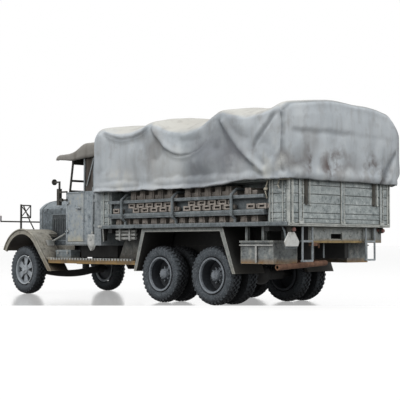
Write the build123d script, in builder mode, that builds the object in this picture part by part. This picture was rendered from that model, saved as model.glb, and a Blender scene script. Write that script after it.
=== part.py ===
from build123d import *
from math import cos, sin, tan, radians
import os

# A 1:87 model of a three-axle military cargo truck, in model millimetres.
# +X is forward, +Y the truck's left, +Z up, and the wheels stand on z = 0.
# The origin is under the middle of the model, so x positions along the truck
# are given from the front axle, which stands at front_axle.

os.makedirs("parts", exist_ok=True)

# ---- driving dimensions -------------------------------------------------
front_axle = 33.4
wheelbase = 43.1            # front axle to first rear axle
bogie_pitch = 13.0          # first to second rear axle
rear_axles = (front_axle - wheelbase, front_axle - wheelbase - bogie_pitch)

tyre_radius = 4.97
tyre_width = 2.4
tyre_shoulder = 4.47        # radius where the tread meets the outer face
front_face = 11.65          # outer face of a front tyre
rear_face = 12.15           # outer face of an outer rear tyre
twin_width = 6.4            # over both tyres of a twin
bead_radius = 3.05
bead_sides = 32             # facets where a tyre sits on its rim
lugs = 16
tread_depth = 0.28

pin_radius = 0.5
running_clearance = 0.06

rail_outer = 4.9
rail_inner = 3.9
rail_low = 7.9
rail_high = 10.0

hood_front = front_axle + 4.4
hood_rear = front_axle - 9.6
hood_low = rail_high
hood_crease = 17.7
hood_top = 19.5
hood_half_front = 4.85
hood_half_rear = 5.7

cab_front = front_axle - 13.6
cab_rear = front_axle - 22.8
cab_half = 10.9
cab_belt = 20.5
cab_roof_edge = 26.7
cab_wall = 0.7
door_front = front_axle - 14.2
door_rear = front_axle - 19.3
cab_floor = 10.7

fender_radius = 7.15
fender_centre_z = 6.2
fender_outer = 12.3
fender_sheet = 0.55

board_low = 6.5
board_high = 7.2
board_outer = 12.1
board_inner = 6.6
board_rear = front_axle - 36.3

bed_front = front_axle - 27.3
bed_rear = front_axle - 73.4
bed_half = 12.84
bed_low = 13.1
bed_floor_top = 13.8
bed_side_top = 22.4
board_thickness = 0.6
recess_front = front_axle - 30.1
recess_rear = front_axle - 70.0
recess_back = 9.8

tarp_front = front_axle - 25.9
tarp_rear = front_axle - 75.0
tarp_half = 15.0
tarp_top = 33.4
tarp_wall = 0.5


# ---- helpers ------------------------------------------------------------
def block(x, y, z, mode=Mode.ADD):
    # a box between two corners, given as a pair of limits along each axis
    with Locations(((x[0] + x[1]) / 2, (y[0] + y[1]) / 2, (z[0] + z[1]) / 2)):
        Box(abs(x[1] - x[0]), abs(y[1] - y[0]), abs(z[1] - z[0]), mode=mode)


def round_y(x, y, z, radius, mode=Mode.ADD):
    # a cylinder along Y between the two limits of y, about the axis at x, z
    with Locations(Location((x, (y[0] + y[1]) / 2, z), (90, 0, 0))):
        Cylinder(radius, abs(y[1] - y[0]), mode=mode)


def round_x(x, y, z, radius, mode=Mode.ADD):
    # a cylinder along X between the two limits of x, about the axis at y, z
    with Locations(Location(((x[0] + x[1]) / 2, y, z), (0, 90, 0))):
        Cylinder(radius, abs(x[1] - x[0]), mode=mode)


def wire(points, radius):
    # a round rod through the points, its corners closed by balls
    for start, end in zip(points, points[1:]):
        run = Vector(*end) - Vector(*start)
        with Locations(Plane(origin=(Vector(*start) + Vector(*end)) / 2, z_dir=run).location):
            Cylinder(radius, run.length)
    for corner in points[1:-1]:
        with Locations(corner):
            Sphere(radius)


def side_plate(points, y, thickness):
    # a plate in the XZ plane, its outline given as x, z points, from y inwards
    with BuildSketch(Plane.XZ.offset(-y)) as outline:
        with BuildLine():
            Polyline(*points, close=True)
        make_face()
    extrude(outline.sketch, amount=thickness if y > 0 else -thickness)


def save(part, name):
    part.label = name
    export_step(part, f"parts/{name}.step")


def save_pair(left, name):
    # the left piece, and the right one as its mirror image
    save(left, f"{name}_left")
    save(mirror(left, about=Plane.XZ), f"{name}_right")


# ---- wheels -------------------------------------------------------------
def lug_ring(radius):
    # corner points of a ring of tread lugs: two on top of each lug, one in the gap after it
    ring = []
    for lug in range(lugs):
        for part_of_pitch, depth in ((0, 0), (0.55, 0), (0.78, tread_depth)):
            turn = radians(360 * (lug + part_of_pitch) / lugs)
            reach = radius * (1 - depth / tyre_radius)
            ring.append((reach * cos(turn), reach * sin(turn)))
    return ring


def bead_drum(x, y, mode=Mode.ADD):
    # the faceted drum on which a tyre's bead sits, between the two limits of y
    low, high = sorted(y)
    with BuildSketch(Plane(origin=(x, low, tyre_radius), x_dir=(1, 0, 0), z_dir=(0, 1, 0))) as drum:
        RegularPolygon(bead_radius, bead_sides)
    extrude(drum.sketch, amount=high - low, mode=mode)


def tyre(x, inner, outer, shouldered=True):
    # a tyre between two faces; its tread draws in to the outer face unless it is an inner twin
    stations = [(inner, tyre_radius), (outer, tyre_radius)]
    if shouldered:
        stations[1:] = [(inner + (outer - inner) * 0.74, tyre_radius), (outer, tyre_shoulder)]
    rings = []
    for y, radius in stations:
        with BuildSketch(Plane(origin=(x, y, tyre_radius), x_dir=(1, 0, 0), z_dir=(0, 1, 0))) as ring:
            with BuildLine():
                Polyline(*lug_ring(radius), close=True)
            make_face()
        rings.append(ring.sketch)
    loft(rings, ruled=True)
    bead_drum(x, (inner, outer), mode=Mode.SUBTRACT)


def front_rim(x, sign):
    # a cast six-spoke wheel with a barrel, a hub on the outer side and its own stub pin
    face = sign * (front_face - 0.35)
    back = sign * (front_face - tyre_width)
    bead_drum(x, (back, face))
    round_y(x, (back, face), tyre_radius, bead_radius - 0.3, mode=Mode.SUBTRACT)
    round_y(x, (face - sign * 0.9, face - sign * 0.4), tyre_radius, bead_radius - 0.15)
    with BuildSketch(Plane(origin=(x, face, tyre_radius), x_dir=(1, 0, 0), z_dir=(0, -sign, 0))) as windows:
        with PolarLocations(1.85, 6, start_angle=30):
            RegularPolygon(0.72, 3, rotation=180)
    extrude(windows.sketch, amount=1.2, mode=Mode.SUBTRACT)
    round_y(x, (face - sign * 1.3, face + sign * 0.15), tyre_radius, 0.95)
    round_y(x, (sign * 7.4, face - sign * 0.5), tyre_radius, pin_radius)


def twin_rim(x, sign):
    # barrels for both tyres on a deep disc, with the hub drum inside the outer one
    face = sign * (rear_face - 0.25)
    back = sign * (rear_face - twin_width)
    disc = sign * (rear_face - tyre_width - 0.1)
    bead_drum(x, (back, face))
    round_y(x, (back, face), tyre_radius, bead_radius - 0.34, mode=Mode.SUBTRACT)
    round_y(x, (disc, disc - sign * 0.6), tyre_radius, bead_radius - 0.2)
    round_y(x, (disc, face - sign * 0.9), tyre_radius, 1.15)
    round_y(x, (face - sign * 0.9, face - sign * 0.3), tyre_radius, 0.7)
    round_y(x, (back, face - sign * 0.6), tyre_radius, pin_radius, mode=Mode.SUBTRACT)


for side, sign in (("left", 1), ("right", -1)):
    with BuildPart() as front_tyre:
        tyre(front_axle, sign * (front_face - tyre_width), sign * front_face)
    save(front_tyre.part, f"front_tyre_{side}")
    with BuildPart() as front_wheel:
        front_rim(front_axle, sign)
    save(front_wheel.part, f"front_rim_{side}")

for number, axle_x in enumerate(rear_axles, start=1):
    with BuildPart() as rear_tyres:
        for sign in (1, -1):
            tyre(axle_x, sign * (rear_face - tyre_width), sign * rear_face)
            inner_face = sign * (rear_face - twin_width)
            tyre(axle_x, inner_face + sign * tyre_width, inner_face, shouldered=False)
    save(rear_tyres.part, f"rear_tyres_{number}")
    with BuildPart() as rear_rims:
        for sign in (1, -1):
            twin_rim(axle_x, sign)
    save(rear_rims.part, f"rear_rims_{number}")
    with BuildPart() as axle_pin:
        pin_end = rear_face - 0.85
        round_y(axle_x, (-pin_end, pin_end), tyre_radius, pin_radius)
    save(axle_pin.part, f"rear_axle_pin_{number}")

# ---- chassis ------------------------------------------------------------
frame_front = front_axle + 7.4
frame_rear = front_axle - 71.6
bearer_rear = front_axle - 70.1
cross_members = (5.6, -12.0, -30.0, -48.3, -64.5)

with BuildPart() as chassis_frame:
    for sign in (1, -1):
        block((frame_front, frame_rear), (sign * rail_inner, sign * rail_outer), (rail_low, rail_high))
    for x in cross_members:
        block((front_axle + x - 0.6, front_axle + x + 0.6), (-rail_inner, rail_inner),
              (rail_low + 0.3, rail_high - 0.3))
    # rear crossbeam with its tow slot, on the rails' raised ends
    for sign in (1, -1):
        block((frame_rear, bearer_rear), (sign * rail_inner, sign * rail_outer), (rail_high, bed_low))
    block((frame_rear, frame_rear - 1.2), (-6.9, 6.9), (10.5, bed_low))
    block((frame_rear + 1, frame_rear - 2), (-1.3, 1.3), (11.1, 11.9), mode=Mode.SUBTRACT)
save(chassis_frame.part, "chassis_frame")

with BuildPart() as front_bumper:
    block((frame_front, frame_front + 0.8), (-8.6, 8.6), (8.9, 10.6))
save(front_bumper.part, "front_bumper")

beam_half = 7.3
knuckle_out = 8.9
with BuildPart() as front_axle_beam:
    # a bow, lowest in the middle, between two knuckles
    with BuildSketch(Plane.YZ.offset(front_axle)):
        with BuildLine():
            lower = ThreePointArc((-beam_half, 4.3), (0, 3.3), (beam_half, 4.3))
            Line(lower @ 1, (beam_half, 5.6))
            upper = ThreePointArc((beam_half, 5.6), (0, 4.7), (-beam_half, 5.6))
            Line(upper @ 1, lower @ 0)
        make_face()
    extrude(amount=0.6, both=True)
    for sign in (1, -1):
        round_y(front_axle, (sign * beam_half, sign * knuckle_out), tyre_radius, 1.0)
        round_y(front_axle, (sign * beam_half, sign * knuckle_out), tyre_radius,
                pin_radius + running_clearance, mode=Mode.SUBTRACT)
        # seat of the leaf spring
        block((front_axle - 0.6, front_axle + 0.6), (sign * 3.9, sign * 4.9), (4.8, 5.9))
save(front_axle_beam.part, "front_axle_beam")

casing_end = 5.2
with BuildPart() as rear_axle_casings:
    for axle_x in rear_axles:
        round_y(axle_x, (-casing_end, casing_end), tyre_radius, 0.95)
        with Locations((axle_x, 0, tyre_radius)):
            Sphere(1.75)
        round_y(axle_x, (-casing_end, casing_end), tyre_radius, pin_radius + running_clearance,
                mode=Mode.SUBTRACT)
        for sign in (1, -1):
            block((axle_x - 0.7, axle_x + 0.7), (sign * 4.0, sign * 4.8),
                  (tyre_radius + 0.7, tyre_radius + 1.4))
save(rear_axle_casings.part, "rear_axle_casings")

spring_low = 5.9
bogie_x = sum(rear_axles) / 2
bogie_spring_low = tyre_radius + 1.4
with BuildPart() as leaf_springs:
    for sign in (1, -1):
        wide = (sign * 3.9, sign * 4.9)
        # a pack over the front axle with its shackles
        for reach, layer in ((2.6, 0), (4.4, 1), (6.4, 2)):
            low = spring_low + 0.4 * layer
            block((front_axle - reach, front_axle + reach), wide, (low, low + 0.4))
        for x in (-6.4, 5.6):
            block((front_axle + x, front_axle + x + 0.8), wide, (spring_low + 1.2, rail_low))
        # a pack over the bogie, longest leaves at the bottom, and its pad
        for reach, layer in ((7.3, 0), (5.4, 1), (3.4, 2)):
            low = bogie_spring_low + 0.45 * layer
            block((bogie_x - reach, bogie_x + reach), wide, (low, low + 0.45))
        block((bogie_x - 1.0, bogie_x + 1.0), wide, (bogie_spring_low + 1.35, rail_low))
save(leaf_springs.part, "leaf_springs")

gearbox_rear = front_axle - 19.0
with BuildPart() as driveline:
    block((front_axle - 12.6, gearbox_rear), (-2.2, 2.2), (6.6, 9.9))
    round_x((gearbox_rear, rear_axles[0] + 1.6), 0, 7.2, 0.5)
    block((rear_axles[0] + 1.6, rear_axles[0] + 3.0), (-0.9, 0.9), (5.6, 8.0))
    round_x((gearbox_rear - 0.2, gearbox_rear - 1.6), 0, 7.2, 0.95)
save(driveline.part, "driveline")

with BuildPart() as side_tanks:
    for sign in (1, -1):
        block((front_axle - 15.6, front_axle - 27.0), (sign * rail_outer, sign * 8.6), (7.7, rail_high))
save(side_tanks.part, "side_tanks")

# ---- hood, radiator and fenders -----------------------------------------
def hood_section(x, half, low, crease, top):
    # straight sides to the crease, then a crowned top
    with BuildSketch(Plane.YZ.offset(x)) as section:
        with BuildLine():
            Line((-half, crease), (-half, low))
            Line((-half, low), (half, low))
            Line((half, low), (half, crease))
            ThreePointArc((half, crease), (half * 0.66, crease + (top - crease) * 0.72), (0, top))
            ThreePointArc((0, top), (-half * 0.66, crease + (top - crease) * 0.72), (-half, crease))
        make_face()
    return section.sketch


louvres = 7
with BuildPart() as hood:
    loft([hood_section(hood_rear, hood_half_rear, hood_low, hood_crease, hood_top),
          hood_section(hood_front - 1.3, hood_half_front, hood_low, hood_crease, hood_top)], ruled=True)
    # louvres in both sides, behind the front wheel
    for sign in (1, -1):
        for step in range(louvres):
            x = hood_rear + 1.6 + 0.85 * step
            block((x, x + 0.4), (sign * 5.2, sign * 6.0), (13.2, 16.4), mode=Mode.SUBTRACT)
save(hood.part, "hood")

with BuildPart() as radiator:
    loft([hood_section(hood_front - 1.3, hood_half_front + 0.1, hood_low, hood_crease + 0.1, hood_top + 0.1),
          hood_section(hood_front, hood_half_front - 0.1, hood_low, hood_crease, hood_top)], ruled=True)
    block((hood_front - 0.35, hood_front + 1), (-3.9, 3.9), (12.0, 17.6), mode=Mode.SUBTRACT)
    for row in range(11):
        y = -3.75 + 0.75 * row
        block((hood_front - 0.36, hood_front - 0.1), (y - 0.12, y + 0.12), (11.9, 17.7))
    with Locations((hood_front - 0.65, 0, hood_top + 0.35)):
        Cylinder(0.5, 0.9)
save(radiator.part, "radiator")

fender_inner = 5.8
tail_inner = 8.1            # inner edge of the rear leg, which is narrower than the arch
slope = radians(48.5)       # fall of the fender's rear leg
fender_tail_z = 4.95


def fender_outline(radius):
    # outer or inner line of the sheet, from the front tip over the top to the tail
    centre = (front_axle, fender_centre_z)
    tip = (centre[0] + radius * cos(radians(24)), centre[1] + radius * sin(radians(24)))
    top = (centre[0], centre[1] + radius)
    leave = (centre[0] - radius * sin(slope), centre[1] + radius * cos(slope))
    tail = (leave[0] - (leave[1] - fender_tail_z) / tan(slope), fender_tail_z)
    return tip, top, leave, tail


def fender_band(y, width, inner_radius, mode=Mode.ADD):
    outer_tip, outer_top, outer_leave, outer_tail = fender_outline(fender_radius)
    inner_tip, inner_top, inner_leave, inner_tail = fender_outline(inner_radius)
    with BuildSketch(Plane.XZ.offset(-y)) as band:
        with BuildLine():
            ThreePointArc(outer_tip, outer_top, outer_leave)
            Polyline(outer_leave, outer_tail, inner_tail, inner_leave)
            ThreePointArc(inner_leave, inner_top, inner_tip)
            Line(inner_tip, outer_tip)
        make_face()
    extrude(band.sketch, amount=width, mode=mode)


with BuildPart() as front_fender:
    fender_band(fender_outer, fender_outer - fender_inner, fender_radius - fender_sheet)
    fender_band(fender_outer, 0.4, fender_radius - 1.0)
    block((front_axle - 3.6, front_axle - 12.0), (fender_inner - 1, tail_inner), (0, 14), mode=Mode.SUBTRACT)
    # apron between the fender and the frame rail, under the hood
    block((front_axle + 6.4, front_axle - 9.6), (rail_outer, fender_inner), (rail_low + 0.2, hood_low))
    # foot on the running board, beside the toolbox
    block((front_axle - 10.4, front_axle - 8.4), (10.1, board_outer), (board_high, board_high + 0.4))
save_pair(front_fender.part, "front_fender")

with BuildPart() as running_boards:
    board_front = front_axle - 9.4
    block((board_front, board_rear), (board_inner, board_outer), (board_low, board_high))
    for x in (12.0, 22.0, 32.0):
        block((front_axle - x, front_axle - x - 0.8), (rail_outer, board_inner), (board_low, rail_low + 0.6))
    ribs = 25
    for step in range(ribs):
        x = board_front - 1.4 - step
        block((x, x - 0.35), (board_outer - 2.0, board_outer), (board_high, board_high + 0.15))
    # side tanks stand clear of the brackets' upper ends
    block((front_axle - 15.6, front_axle - 27.0), (rail_outer, 8.6), (7.7, rail_high), mode=Mode.SUBTRACT)
    mirror(about=Plane.XZ)
save(running_boards.part, "running_boards")

with BuildPart() as board_toolboxes:
    block((front_axle - 8.9, front_axle - 13.8), (7.6, 9.85), (board_high, 9.1))
    block((front_axle - 8.8, front_axle - 13.9), (7.5, 9.95), (8.7, 8.95))
    mirror(about=Plane.XZ)
save(board_toolboxes.part, "board_toolboxes")

with BuildPart() as fender_stays:
    # a bracket on the fender's slope and a rod back to the cab's front
    block((front_axle - 5.2, front_axle - 6.2), (8.4, 10.0), (9.5, 11.1))
    wire([(front_axle - 5.9, 8.7, 10.8), (front_axle - 13.2, 10.72, 12.3)], 0.18)
    fender_band(fender_outer, fender_outer - fender_inner, 2.0, mode=Mode.SUBTRACT)
    mirror(about=Plane.XZ)
save(fender_stays.part, "fender_stays")

# ---- cab ----------------------------------------------------------------
def scuttle_section(x, half, low, high):
    with BuildSketch(Plane.YZ.offset(x)) as section:
        with BuildLine():
            Polyline((-half, low), (half, low), (half, high - 1.2), (half - 1.2, high),
                     (-half + 1.2, high), (-half, high - 1.2), close=True)
        make_face()
    return section.sketch


windscreen_low = cab_belt
windscreen_high = 26.4
windscreen_lean = 1.0       # how far the top stands behind the bottom
post_half = 10.3

with BuildPart() as cab_body:
    # scuttle between the hood and the cab
    loft([scuttle_section(hood_rear, hood_half_rear, rail_high, hood_top),
          scuttle_section(cab_front, cab_half, rail_high, cab_belt)], ruled=True)
    loft([scuttle_section(hood_rear - cab_wall, hood_half_rear - cab_wall, cab_floor, hood_top - cab_wall),
          scuttle_section(cab_front - 0.01, cab_half - cab_wall, cab_floor, cab_belt - cab_wall)],
         ruled=True, mode=Mode.SUBTRACT)
    # open box of the cab: a floor on the frame, sides and a back
    block((cab_front, cab_rear), (-cab_half, cab_half), (rail_high, cab_belt))
    block((cab_front + 0.01, cab_rear + cab_wall), (-cab_half + cab_wall, cab_half - cab_wall),
          (cab_floor, cab_belt + 1), mode=Mode.SUBTRACT)
    # back wall up to the roof, with a rear window
    block((cab_rear, cab_rear + cab_wall), (-cab_half, cab_half), (cab_belt, cab_roof_edge + 0.9))
    block((cab_rear - 1, cab_rear + 1), (-5.0, 5.0), (21.8, 25.0), mode=Mode.SUBTRACT)
    # door openings
    for sign in (1, -1):
        block((door_front, door_rear), (sign * (cab_half - 2), sign * (cab_half + 1)), (cab_floor, 30),
              mode=Mode.SUBTRACT)
    # door posts up to the roof
    for sign in (1, -1):
        block((door_rear - 0.5, door_rear), (sign * (cab_half - 0.5), sign * cab_half), (cab_belt, 28.2))
    # dashboard behind the scuttle
    block((cab_front, cab_front - 0.5), (-cab_half + cab_wall, cab_half - cab_wall), (18.0, cab_belt))
save(cab_body.part, "cab_body")

door_gap = 0.08
with BuildPart() as door:
    block((door_front - door_gap, door_rear + door_gap), (cab_half - cab_wall, cab_half),
          (cab_floor + door_gap, cab_belt - 0.1))
    # hinges on the front post and a handle
    for z in (12.6, 18.2):
        block((door_front + 0.3, door_front - 0.4), (cab_half, cab_half + 0.2), (z, z + 0.45))
    block((door_rear + 0.7, door_rear + 1.9), (cab_half, cab_half + 0.35), (17.1, 17.4))
save_pair(door.part, "door")

with BuildPart() as windscreen_frame:
    foot_x = cab_front - 0.45
    head_x = foot_x - windscreen_lean
    for y in (-post_half, 0, post_half):
        wire([(foot_x, y, windscreen_low), (head_x, y, windscreen_high)], 0.22)
    for z in (windscreen_low + 0.25, 22.8, windscreen_high - 0.2):
        lean = windscreen_lean * (z - windscreen_low) / (windscreen_high - windscreen_low)
        block((foot_x - lean - 0.2, foot_x - lean + 0.2), (-post_half, post_half), (z - 0.2, z + 0.2))
    # header that carries the front of the roof
    block((head_x - 0.4, head_x + 0.4), (-post_half, post_half), (windscreen_high, 27.2))
save(windscreen_frame.part, "windscreen_frame")

# roof stations: x from the front axle, lower edge, height at the side, height at the middle
roof_stations = ((-10.9, 27.3, 27.8, 28.2), (-11.6, 27.0, 28.0, 28.5), (-15.5, 26.7, 28.2, 28.8),
                 (-17.1, 26.6, 28.6, 29.2), (-18.7, 26.7, 29.3, 29.8), (-20.0, 26.8, 29.7, 30.2),
                 (-22.6, 26.9, 29.7, 30.2), (-25.0, 26.9, 29.2, 29.8))
roof_half = 11.5
roof_sheet = 0.55


def roof_section(station, inset):
    x, low, side, middle = station
    half = roof_half - inset
    with BuildSketch(Plane.YZ.offset(front_axle + x)) as section:
        with BuildLine():
            bottom = low - 1 if inset else low
            Polyline((-half, side - inset), (-half, bottom), (half, bottom), (half, side - inset))
            ThreePointArc((half, side - inset), (0, middle - inset), (-half, side - inset))
        make_face()
    return section.sketch


with BuildPart() as cab_roof:
    loft([roof_section(station, 0) for station in roof_stations], ruled=True)
    loft([roof_section(station, roof_sheet) for station in roof_stations[1:]], ruled=True, mode=Mode.SUBTRACT)
    # bearers across the sheet, on the header and on the back wall
    block((head_x - 0.4, head_x + 0.4), (-roof_half + 0.3, roof_half - 0.3), (27.2, 28.0))
    block((cab_rear, cab_rear + cab_wall), (-roof_half + 0.3, roof_half - 0.3), (cab_roof_edge + 0.9, 29.0))
save(cab_roof.part, "cab_roof")

with BuildPart() as side_curtains:
    # canvas between the door post and the back wall, above the belt
    block((door_rear - 0.5, cab_rear + cab_wall), (cab_half - 0.35, cab_half), (cab_belt, 27.6))
    mirror(about=Plane.XZ)
save(side_curtains.part, "side_curtains")

wheel_y = 4.6
with BuildPart() as steering_wheel:
    with BuildSketch(Plane(origin=(cab_front - 3.0, wheel_y, 18.6), z_dir=(-0.8, 0, 0.6))) as ring:
        Circle(1.75)
        Circle(1.45, mode=Mode.SUBTRACT)
        Rectangle(3.1, 0.25)
        Rectangle(0.25, 3.1)
    extrude(ring.sketch, amount=0.3)
    wire([(cab_front - 3.0, wheel_y, 18.6), (cab_front - 0.75, wheel_y, 16.9),
          (cab_front - 0.75, wheel_y, cab_floor)], 0.22)
save(steering_wheel.part, "steering_wheel")

with BuildPart() as seat:
    block((cab_rear + 5.2, cab_rear + cab_wall), (-9.4, 9.4), (cab_floor, 14.0))
    block((cab_rear + 1.5, cab_rear + cab_wall), (-9.4, 9.4), (14.0, 19.0))
save(seat.part, "seat")

with BuildPart() as cab_locker:
    # slim stowage locker between the cab and the load bed, on the frame
    block((front_axle - 25.3, bed_front), (-bed_half, bed_half), (rail_high, 19.8))
save(cab_locker.part, "cab_locker")

mirror_x = cab_front + 1.9
with BuildPart() as mirror_arms:
    # post at the scuttle's corner with an indicator box, a round mirror and a side lamp
    block((mirror_x, mirror_x + 0.8), (cab_half - 0.35, cab_half + 0.35), (18.0, 21.3))
    block((mirror_x + 0.2, mirror_x + 0.5), (cab_half - 0.15, cab_half + 0.15), (21.3, 22.8))
    block((mirror_x + 0.5, mirror_x + 2.0), (cab_half - 0.15, cab_half + 0.15), (22.5, 22.8))
    round_x((mirror_x + 2.0, mirror_x + 2.2), cab_half, 22.7, 0.6)
    # arms back to the cab's corner, and the lamp's stem
    for z in (19.0, 20.6):
        block((cab_front - 0.5, mirror_x), (cab_half, cab_half + 0.3), (z - 0.15, z + 0.15))
    block((mirror_x - 1.4, mirror_x - 0.8), (cab_half + 0.3, cab_half + 0.7), (18.7, 19.3))
    mirror(about=Plane.XZ)
save(mirror_arms.part, "mirror_arms")

with BuildPart() as fender_markers:
    # post with a lattice frame on the fender, and the cross bar from the radiator
    post_x = front_axle + 4.8
    post_y = 9.2
    wire([(post_x, post_y, 11.2), (post_x, post_y, 18.7)], 0.22)
    wire([(post_x, hood_half_front - 0.3, 15.0), (post_x, 14.2, 15.0), (post_x, 14.2, 16.2)], 0.15)
    wire([(post_x, post_y, 18.5), (post_x, 6.8, 18.5), (post_x, 6.8, 15.9), (post_x, post_y, 15.9)],
         0.13)
    wire([(post_x, post_y, 18.4), (post_x, 6.9, 16.0)], 0.1)
    wire([(post_x, post_y, 16.0), (post_x, 6.9, 18.4)], 0.1)
    wire([(post_x, 8.6, 18.4), (post_x - 0.9, 7.6, 15.2), (post_x - 1.4, 7.0, 13.6),
          (post_x - 1.6, 6.5, 12.6)], 0.13)
    fender_band(fender_outer, fender_outer - fender_inner, 2.0, mode=Mode.SUBTRACT)
    mirror(about=Plane.XZ)
save(fender_markers.part, "fender_markers")

with BuildPart() as headlamps:
    # drums on short posts at the bumper's ends
    lamp_x = frame_front + 0.3
    lamp_y = 7.0
    lamp_z = 12.0
    round_x((lamp_x - 0.5, lamp_x + 0.4), lamp_y, lamp_z, 1.1)
    round_x((lamp_x - 1.1, lamp_x - 0.5), lamp_y, lamp_z, 0.7)
    block((lamp_x - 0.2, lamp_x + 0.2), (lamp_y - 0.25, lamp_y + 0.25), (10.6, lamp_z - 0.9))
    mirror(about=Plane.XZ)
save(headlamps.part, "headlamps")

# ---- load bed -----------------------------------------------------------
with BuildPart() as bed_floor:
    block((bed_front, bed_rear), (-bed_half, bed_half), (bed_low, bed_floor_top))
    for sign in (1, -1):
        block((recess_front, bed_rear), (sign * bed_half, sign * (bed_half + 0.4)),
              (bed_low, bed_floor_top - 0.1))
save(bed_floor.part, "bed_floor")

cross_bearers = (-29.5, -34.0, -48.3, -62.5, -69.0)
with BuildPart() as bed_bearers:
    for sign in (1, -1):
        block((front_axle - 28.0, bearer_rear), (sign * rail_inner, sign * rail_outer), (rail_high, bed_low))
    for x in cross_bearers:
        block((front_axle + x - 0.5, front_axle + x + 0.5), (-5.6, 5.6), (bed_low - 0.8, bed_low))
    for sign in (1, -1):
        for x in (cross_bearers[0], cross_bearers[-1]):
            block((front_axle + x - 0.5, front_axle + x + 0.5), (sign * 5.6, sign * 12.4),
                  (bed_low - 0.8, bed_low))
        # hanger at the bed's front corner
        block((front_axle - 27.5, front_axle - 28.0), (sign * 11.9, sign * 12.4), (10.9, bed_low))
save(bed_bearers.part, "bed_bearers")

plank_grooves = (14.25, 15.4, 16.7, 18.1, 19.5, 20.9)
groove = 0.12

with BuildPart() as headboard:
    block((bed_front, bed_front - 0.8), (-bed_half, bed_half), (bed_floor_top, bed_side_top))
save(headboard.part, "headboard")

with BuildPart() as bed_side:
    outer = (bed_half - board_thickness, bed_half)
    side_front = bed_front - 0.8
    # planked ends, the top board, and the recess for the spare track
    block((side_front, recess_front), outer, (bed_floor_top, bed_side_top))
    block((recess_rear, bed_rear), outer, (bed_floor_top, bed_side_top))
    block((side_front, bed_rear), outer, (20.6, bed_side_top))
    block((recess_front, recess_rear), (recess_back - board_thickness, recess_back), (bed_floor_top, 20.6))
    block((recess_front, recess_rear), (recess_back - board_thickness, bed_half), (20.2, 20.6))
    for x in (recess_front, recess_rear):
        block((x - 0.3, x + 0.3), (recess_back - board_thickness, bed_half), (bed_floor_top, 20.6))
    # grooves between the planks
    for z in plank_grooves:
        for x in ((side_front + 0.1, recess_front + 0.4), (recess_rear - 0.4, bed_rear + 0.5)):
            block(x, (bed_half - groove, bed_half + 1), (z, z + groove), mode=Mode.SUBTRACT)
save_pair(bed_side.part, "bed_side")

strap_places = (-10.4, 0.0, 10.4)
with BuildPart() as tailgate:
    block((bed_rear, bed_rear - 0.6), (-bed_half, bed_half), (bed_low, bed_side_top))
    for z in plank_grooves:
        block((bed_rear - 0.6 + groove, bed_rear - 1), (-bed_half + 0.4, bed_half - 0.4), (z, z + groove),
              mode=Mode.SUBTRACT)
    # hinge straps over the planks
    for y in strap_places:
        block((bed_rear - 0.6, bed_rear - 0.9), (y - 0.3, y + 0.3), (13.9, 20.4))
save(tailgate.part, "tailgate")

# track laid in each recess: rows of links, low and high z, and the faces of a link
link = 1.15
link_pitch = 2.45
link_strip = 0.25
link_rows = ((13.8, 15.0, recess_back, 12.3), (15.3, 16.25, 12.5, 13.5), (16.55, 17.5, 12.5, 13.5),
             (17.85, 19.7, recess_back, 12.3))
# runs of links in a row: which row, x of the first link from the front axle, number of links
link_runs = ((0, -31.6, 15), (1, -31.6, 1), (1, -37.2, 5), (1, -50.6, 5), (2, -36.0, 5), (2, -51.8, 4),
             (1, -65.5, 2), (3, -35.8, 5), (3, -50.2, 5), (3, -64.4, 1))
clamp_places = (-34.9, -48.7, -62.9)
channel_ends = (front_axle - 30.6, front_axle - 69.5)


def link_plan(first, count, inner, outer):
    # plan of a run of links, which reach outwards from a strip along their inner ends
    plan = [(first, inner)]
    for step in range(count):
        x = first - link_pitch * step
        if step:
            plan += [(x + link_pitch - link, inner + link_strip), (x, inner + link_strip)]
        plan += [(x, outer), (x - link, outer)]
    return plan + [(x - link, inner)]


with BuildPart() as spare_links:
    for row, first, count in link_runs:
        low, high, inner, outer = link_rows[row]
        with BuildSketch(Plane.XY.offset(low)) as run:
            with BuildLine():
                Polyline(*link_plan(front_axle + first, count, inner, outer), close=True)
            make_face()
        extrude(run.sketch, amount=high - low)
    mirror(about=Plane.XZ)
save(spare_links.part, "spare_links")

with BuildPart() as track_racks:
    # channel with its web and flanges, and the bent rods that clamp it
    block(channel_ends, (12.1, 12.5), (15.0, 17.85))
    for low, high in ((15.0, 15.3), (17.55, 17.85)):
        block(channel_ends, (12.1, 13.8), (low, high))
    # brackets to the bed behind it
    for x in (-30.9, -68.8):
        block((front_axle + x, front_axle + x - 0.6), (recess_back, 12.1), (15.2, 17.6))
    for x in clamp_places:
        at = front_axle + x
        wire([(at, recess_back, 19.2), (at, 12.9, 19.2), (at, 14.05, 18.0), (at, 14.05, 14.9),
              (at, 13.05, 14.3), (at, 13.05, 13.7)], 0.24)
    mirror(about=Plane.XZ)
save(track_racks.part, "track_racks")

# ---- canvas cover of the load bed ---------------------------------------
# cover stations: x from the front axle, half width, lower edge, shoulder, top
cover_stations = ((-25.9, 14.6, 19.9, 28.6, 33.0), (-27.3, 14.9, 19.9, 29.0, 33.3),
                  (-35.3, 14.5, 19.4, 28.0, 32.7), (-43.2, 14.9, 19.4, 28.9, 33.3),
                  (-50.9, 14.2, 19.4, 26.8, 32.2), (-58.6, 14.9, 19.7, 28.9, 33.4),
                  (-66.0, 14.4, 20.1, 27.6, 32.9), (-73.8, 15.0, 20.2, 28.9, 33.4),
                  (-75.0, 14.7, 20.3, 28.6, 33.1))
# end stations of the hollow, between the outer ones
hollow_ends = ((-26.4, 14.7, 19.9, 28.7, 33.1), (-74.5, 14.8, 20.25, 28.7, 33.2))
shoulder_round = 3.0


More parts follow.
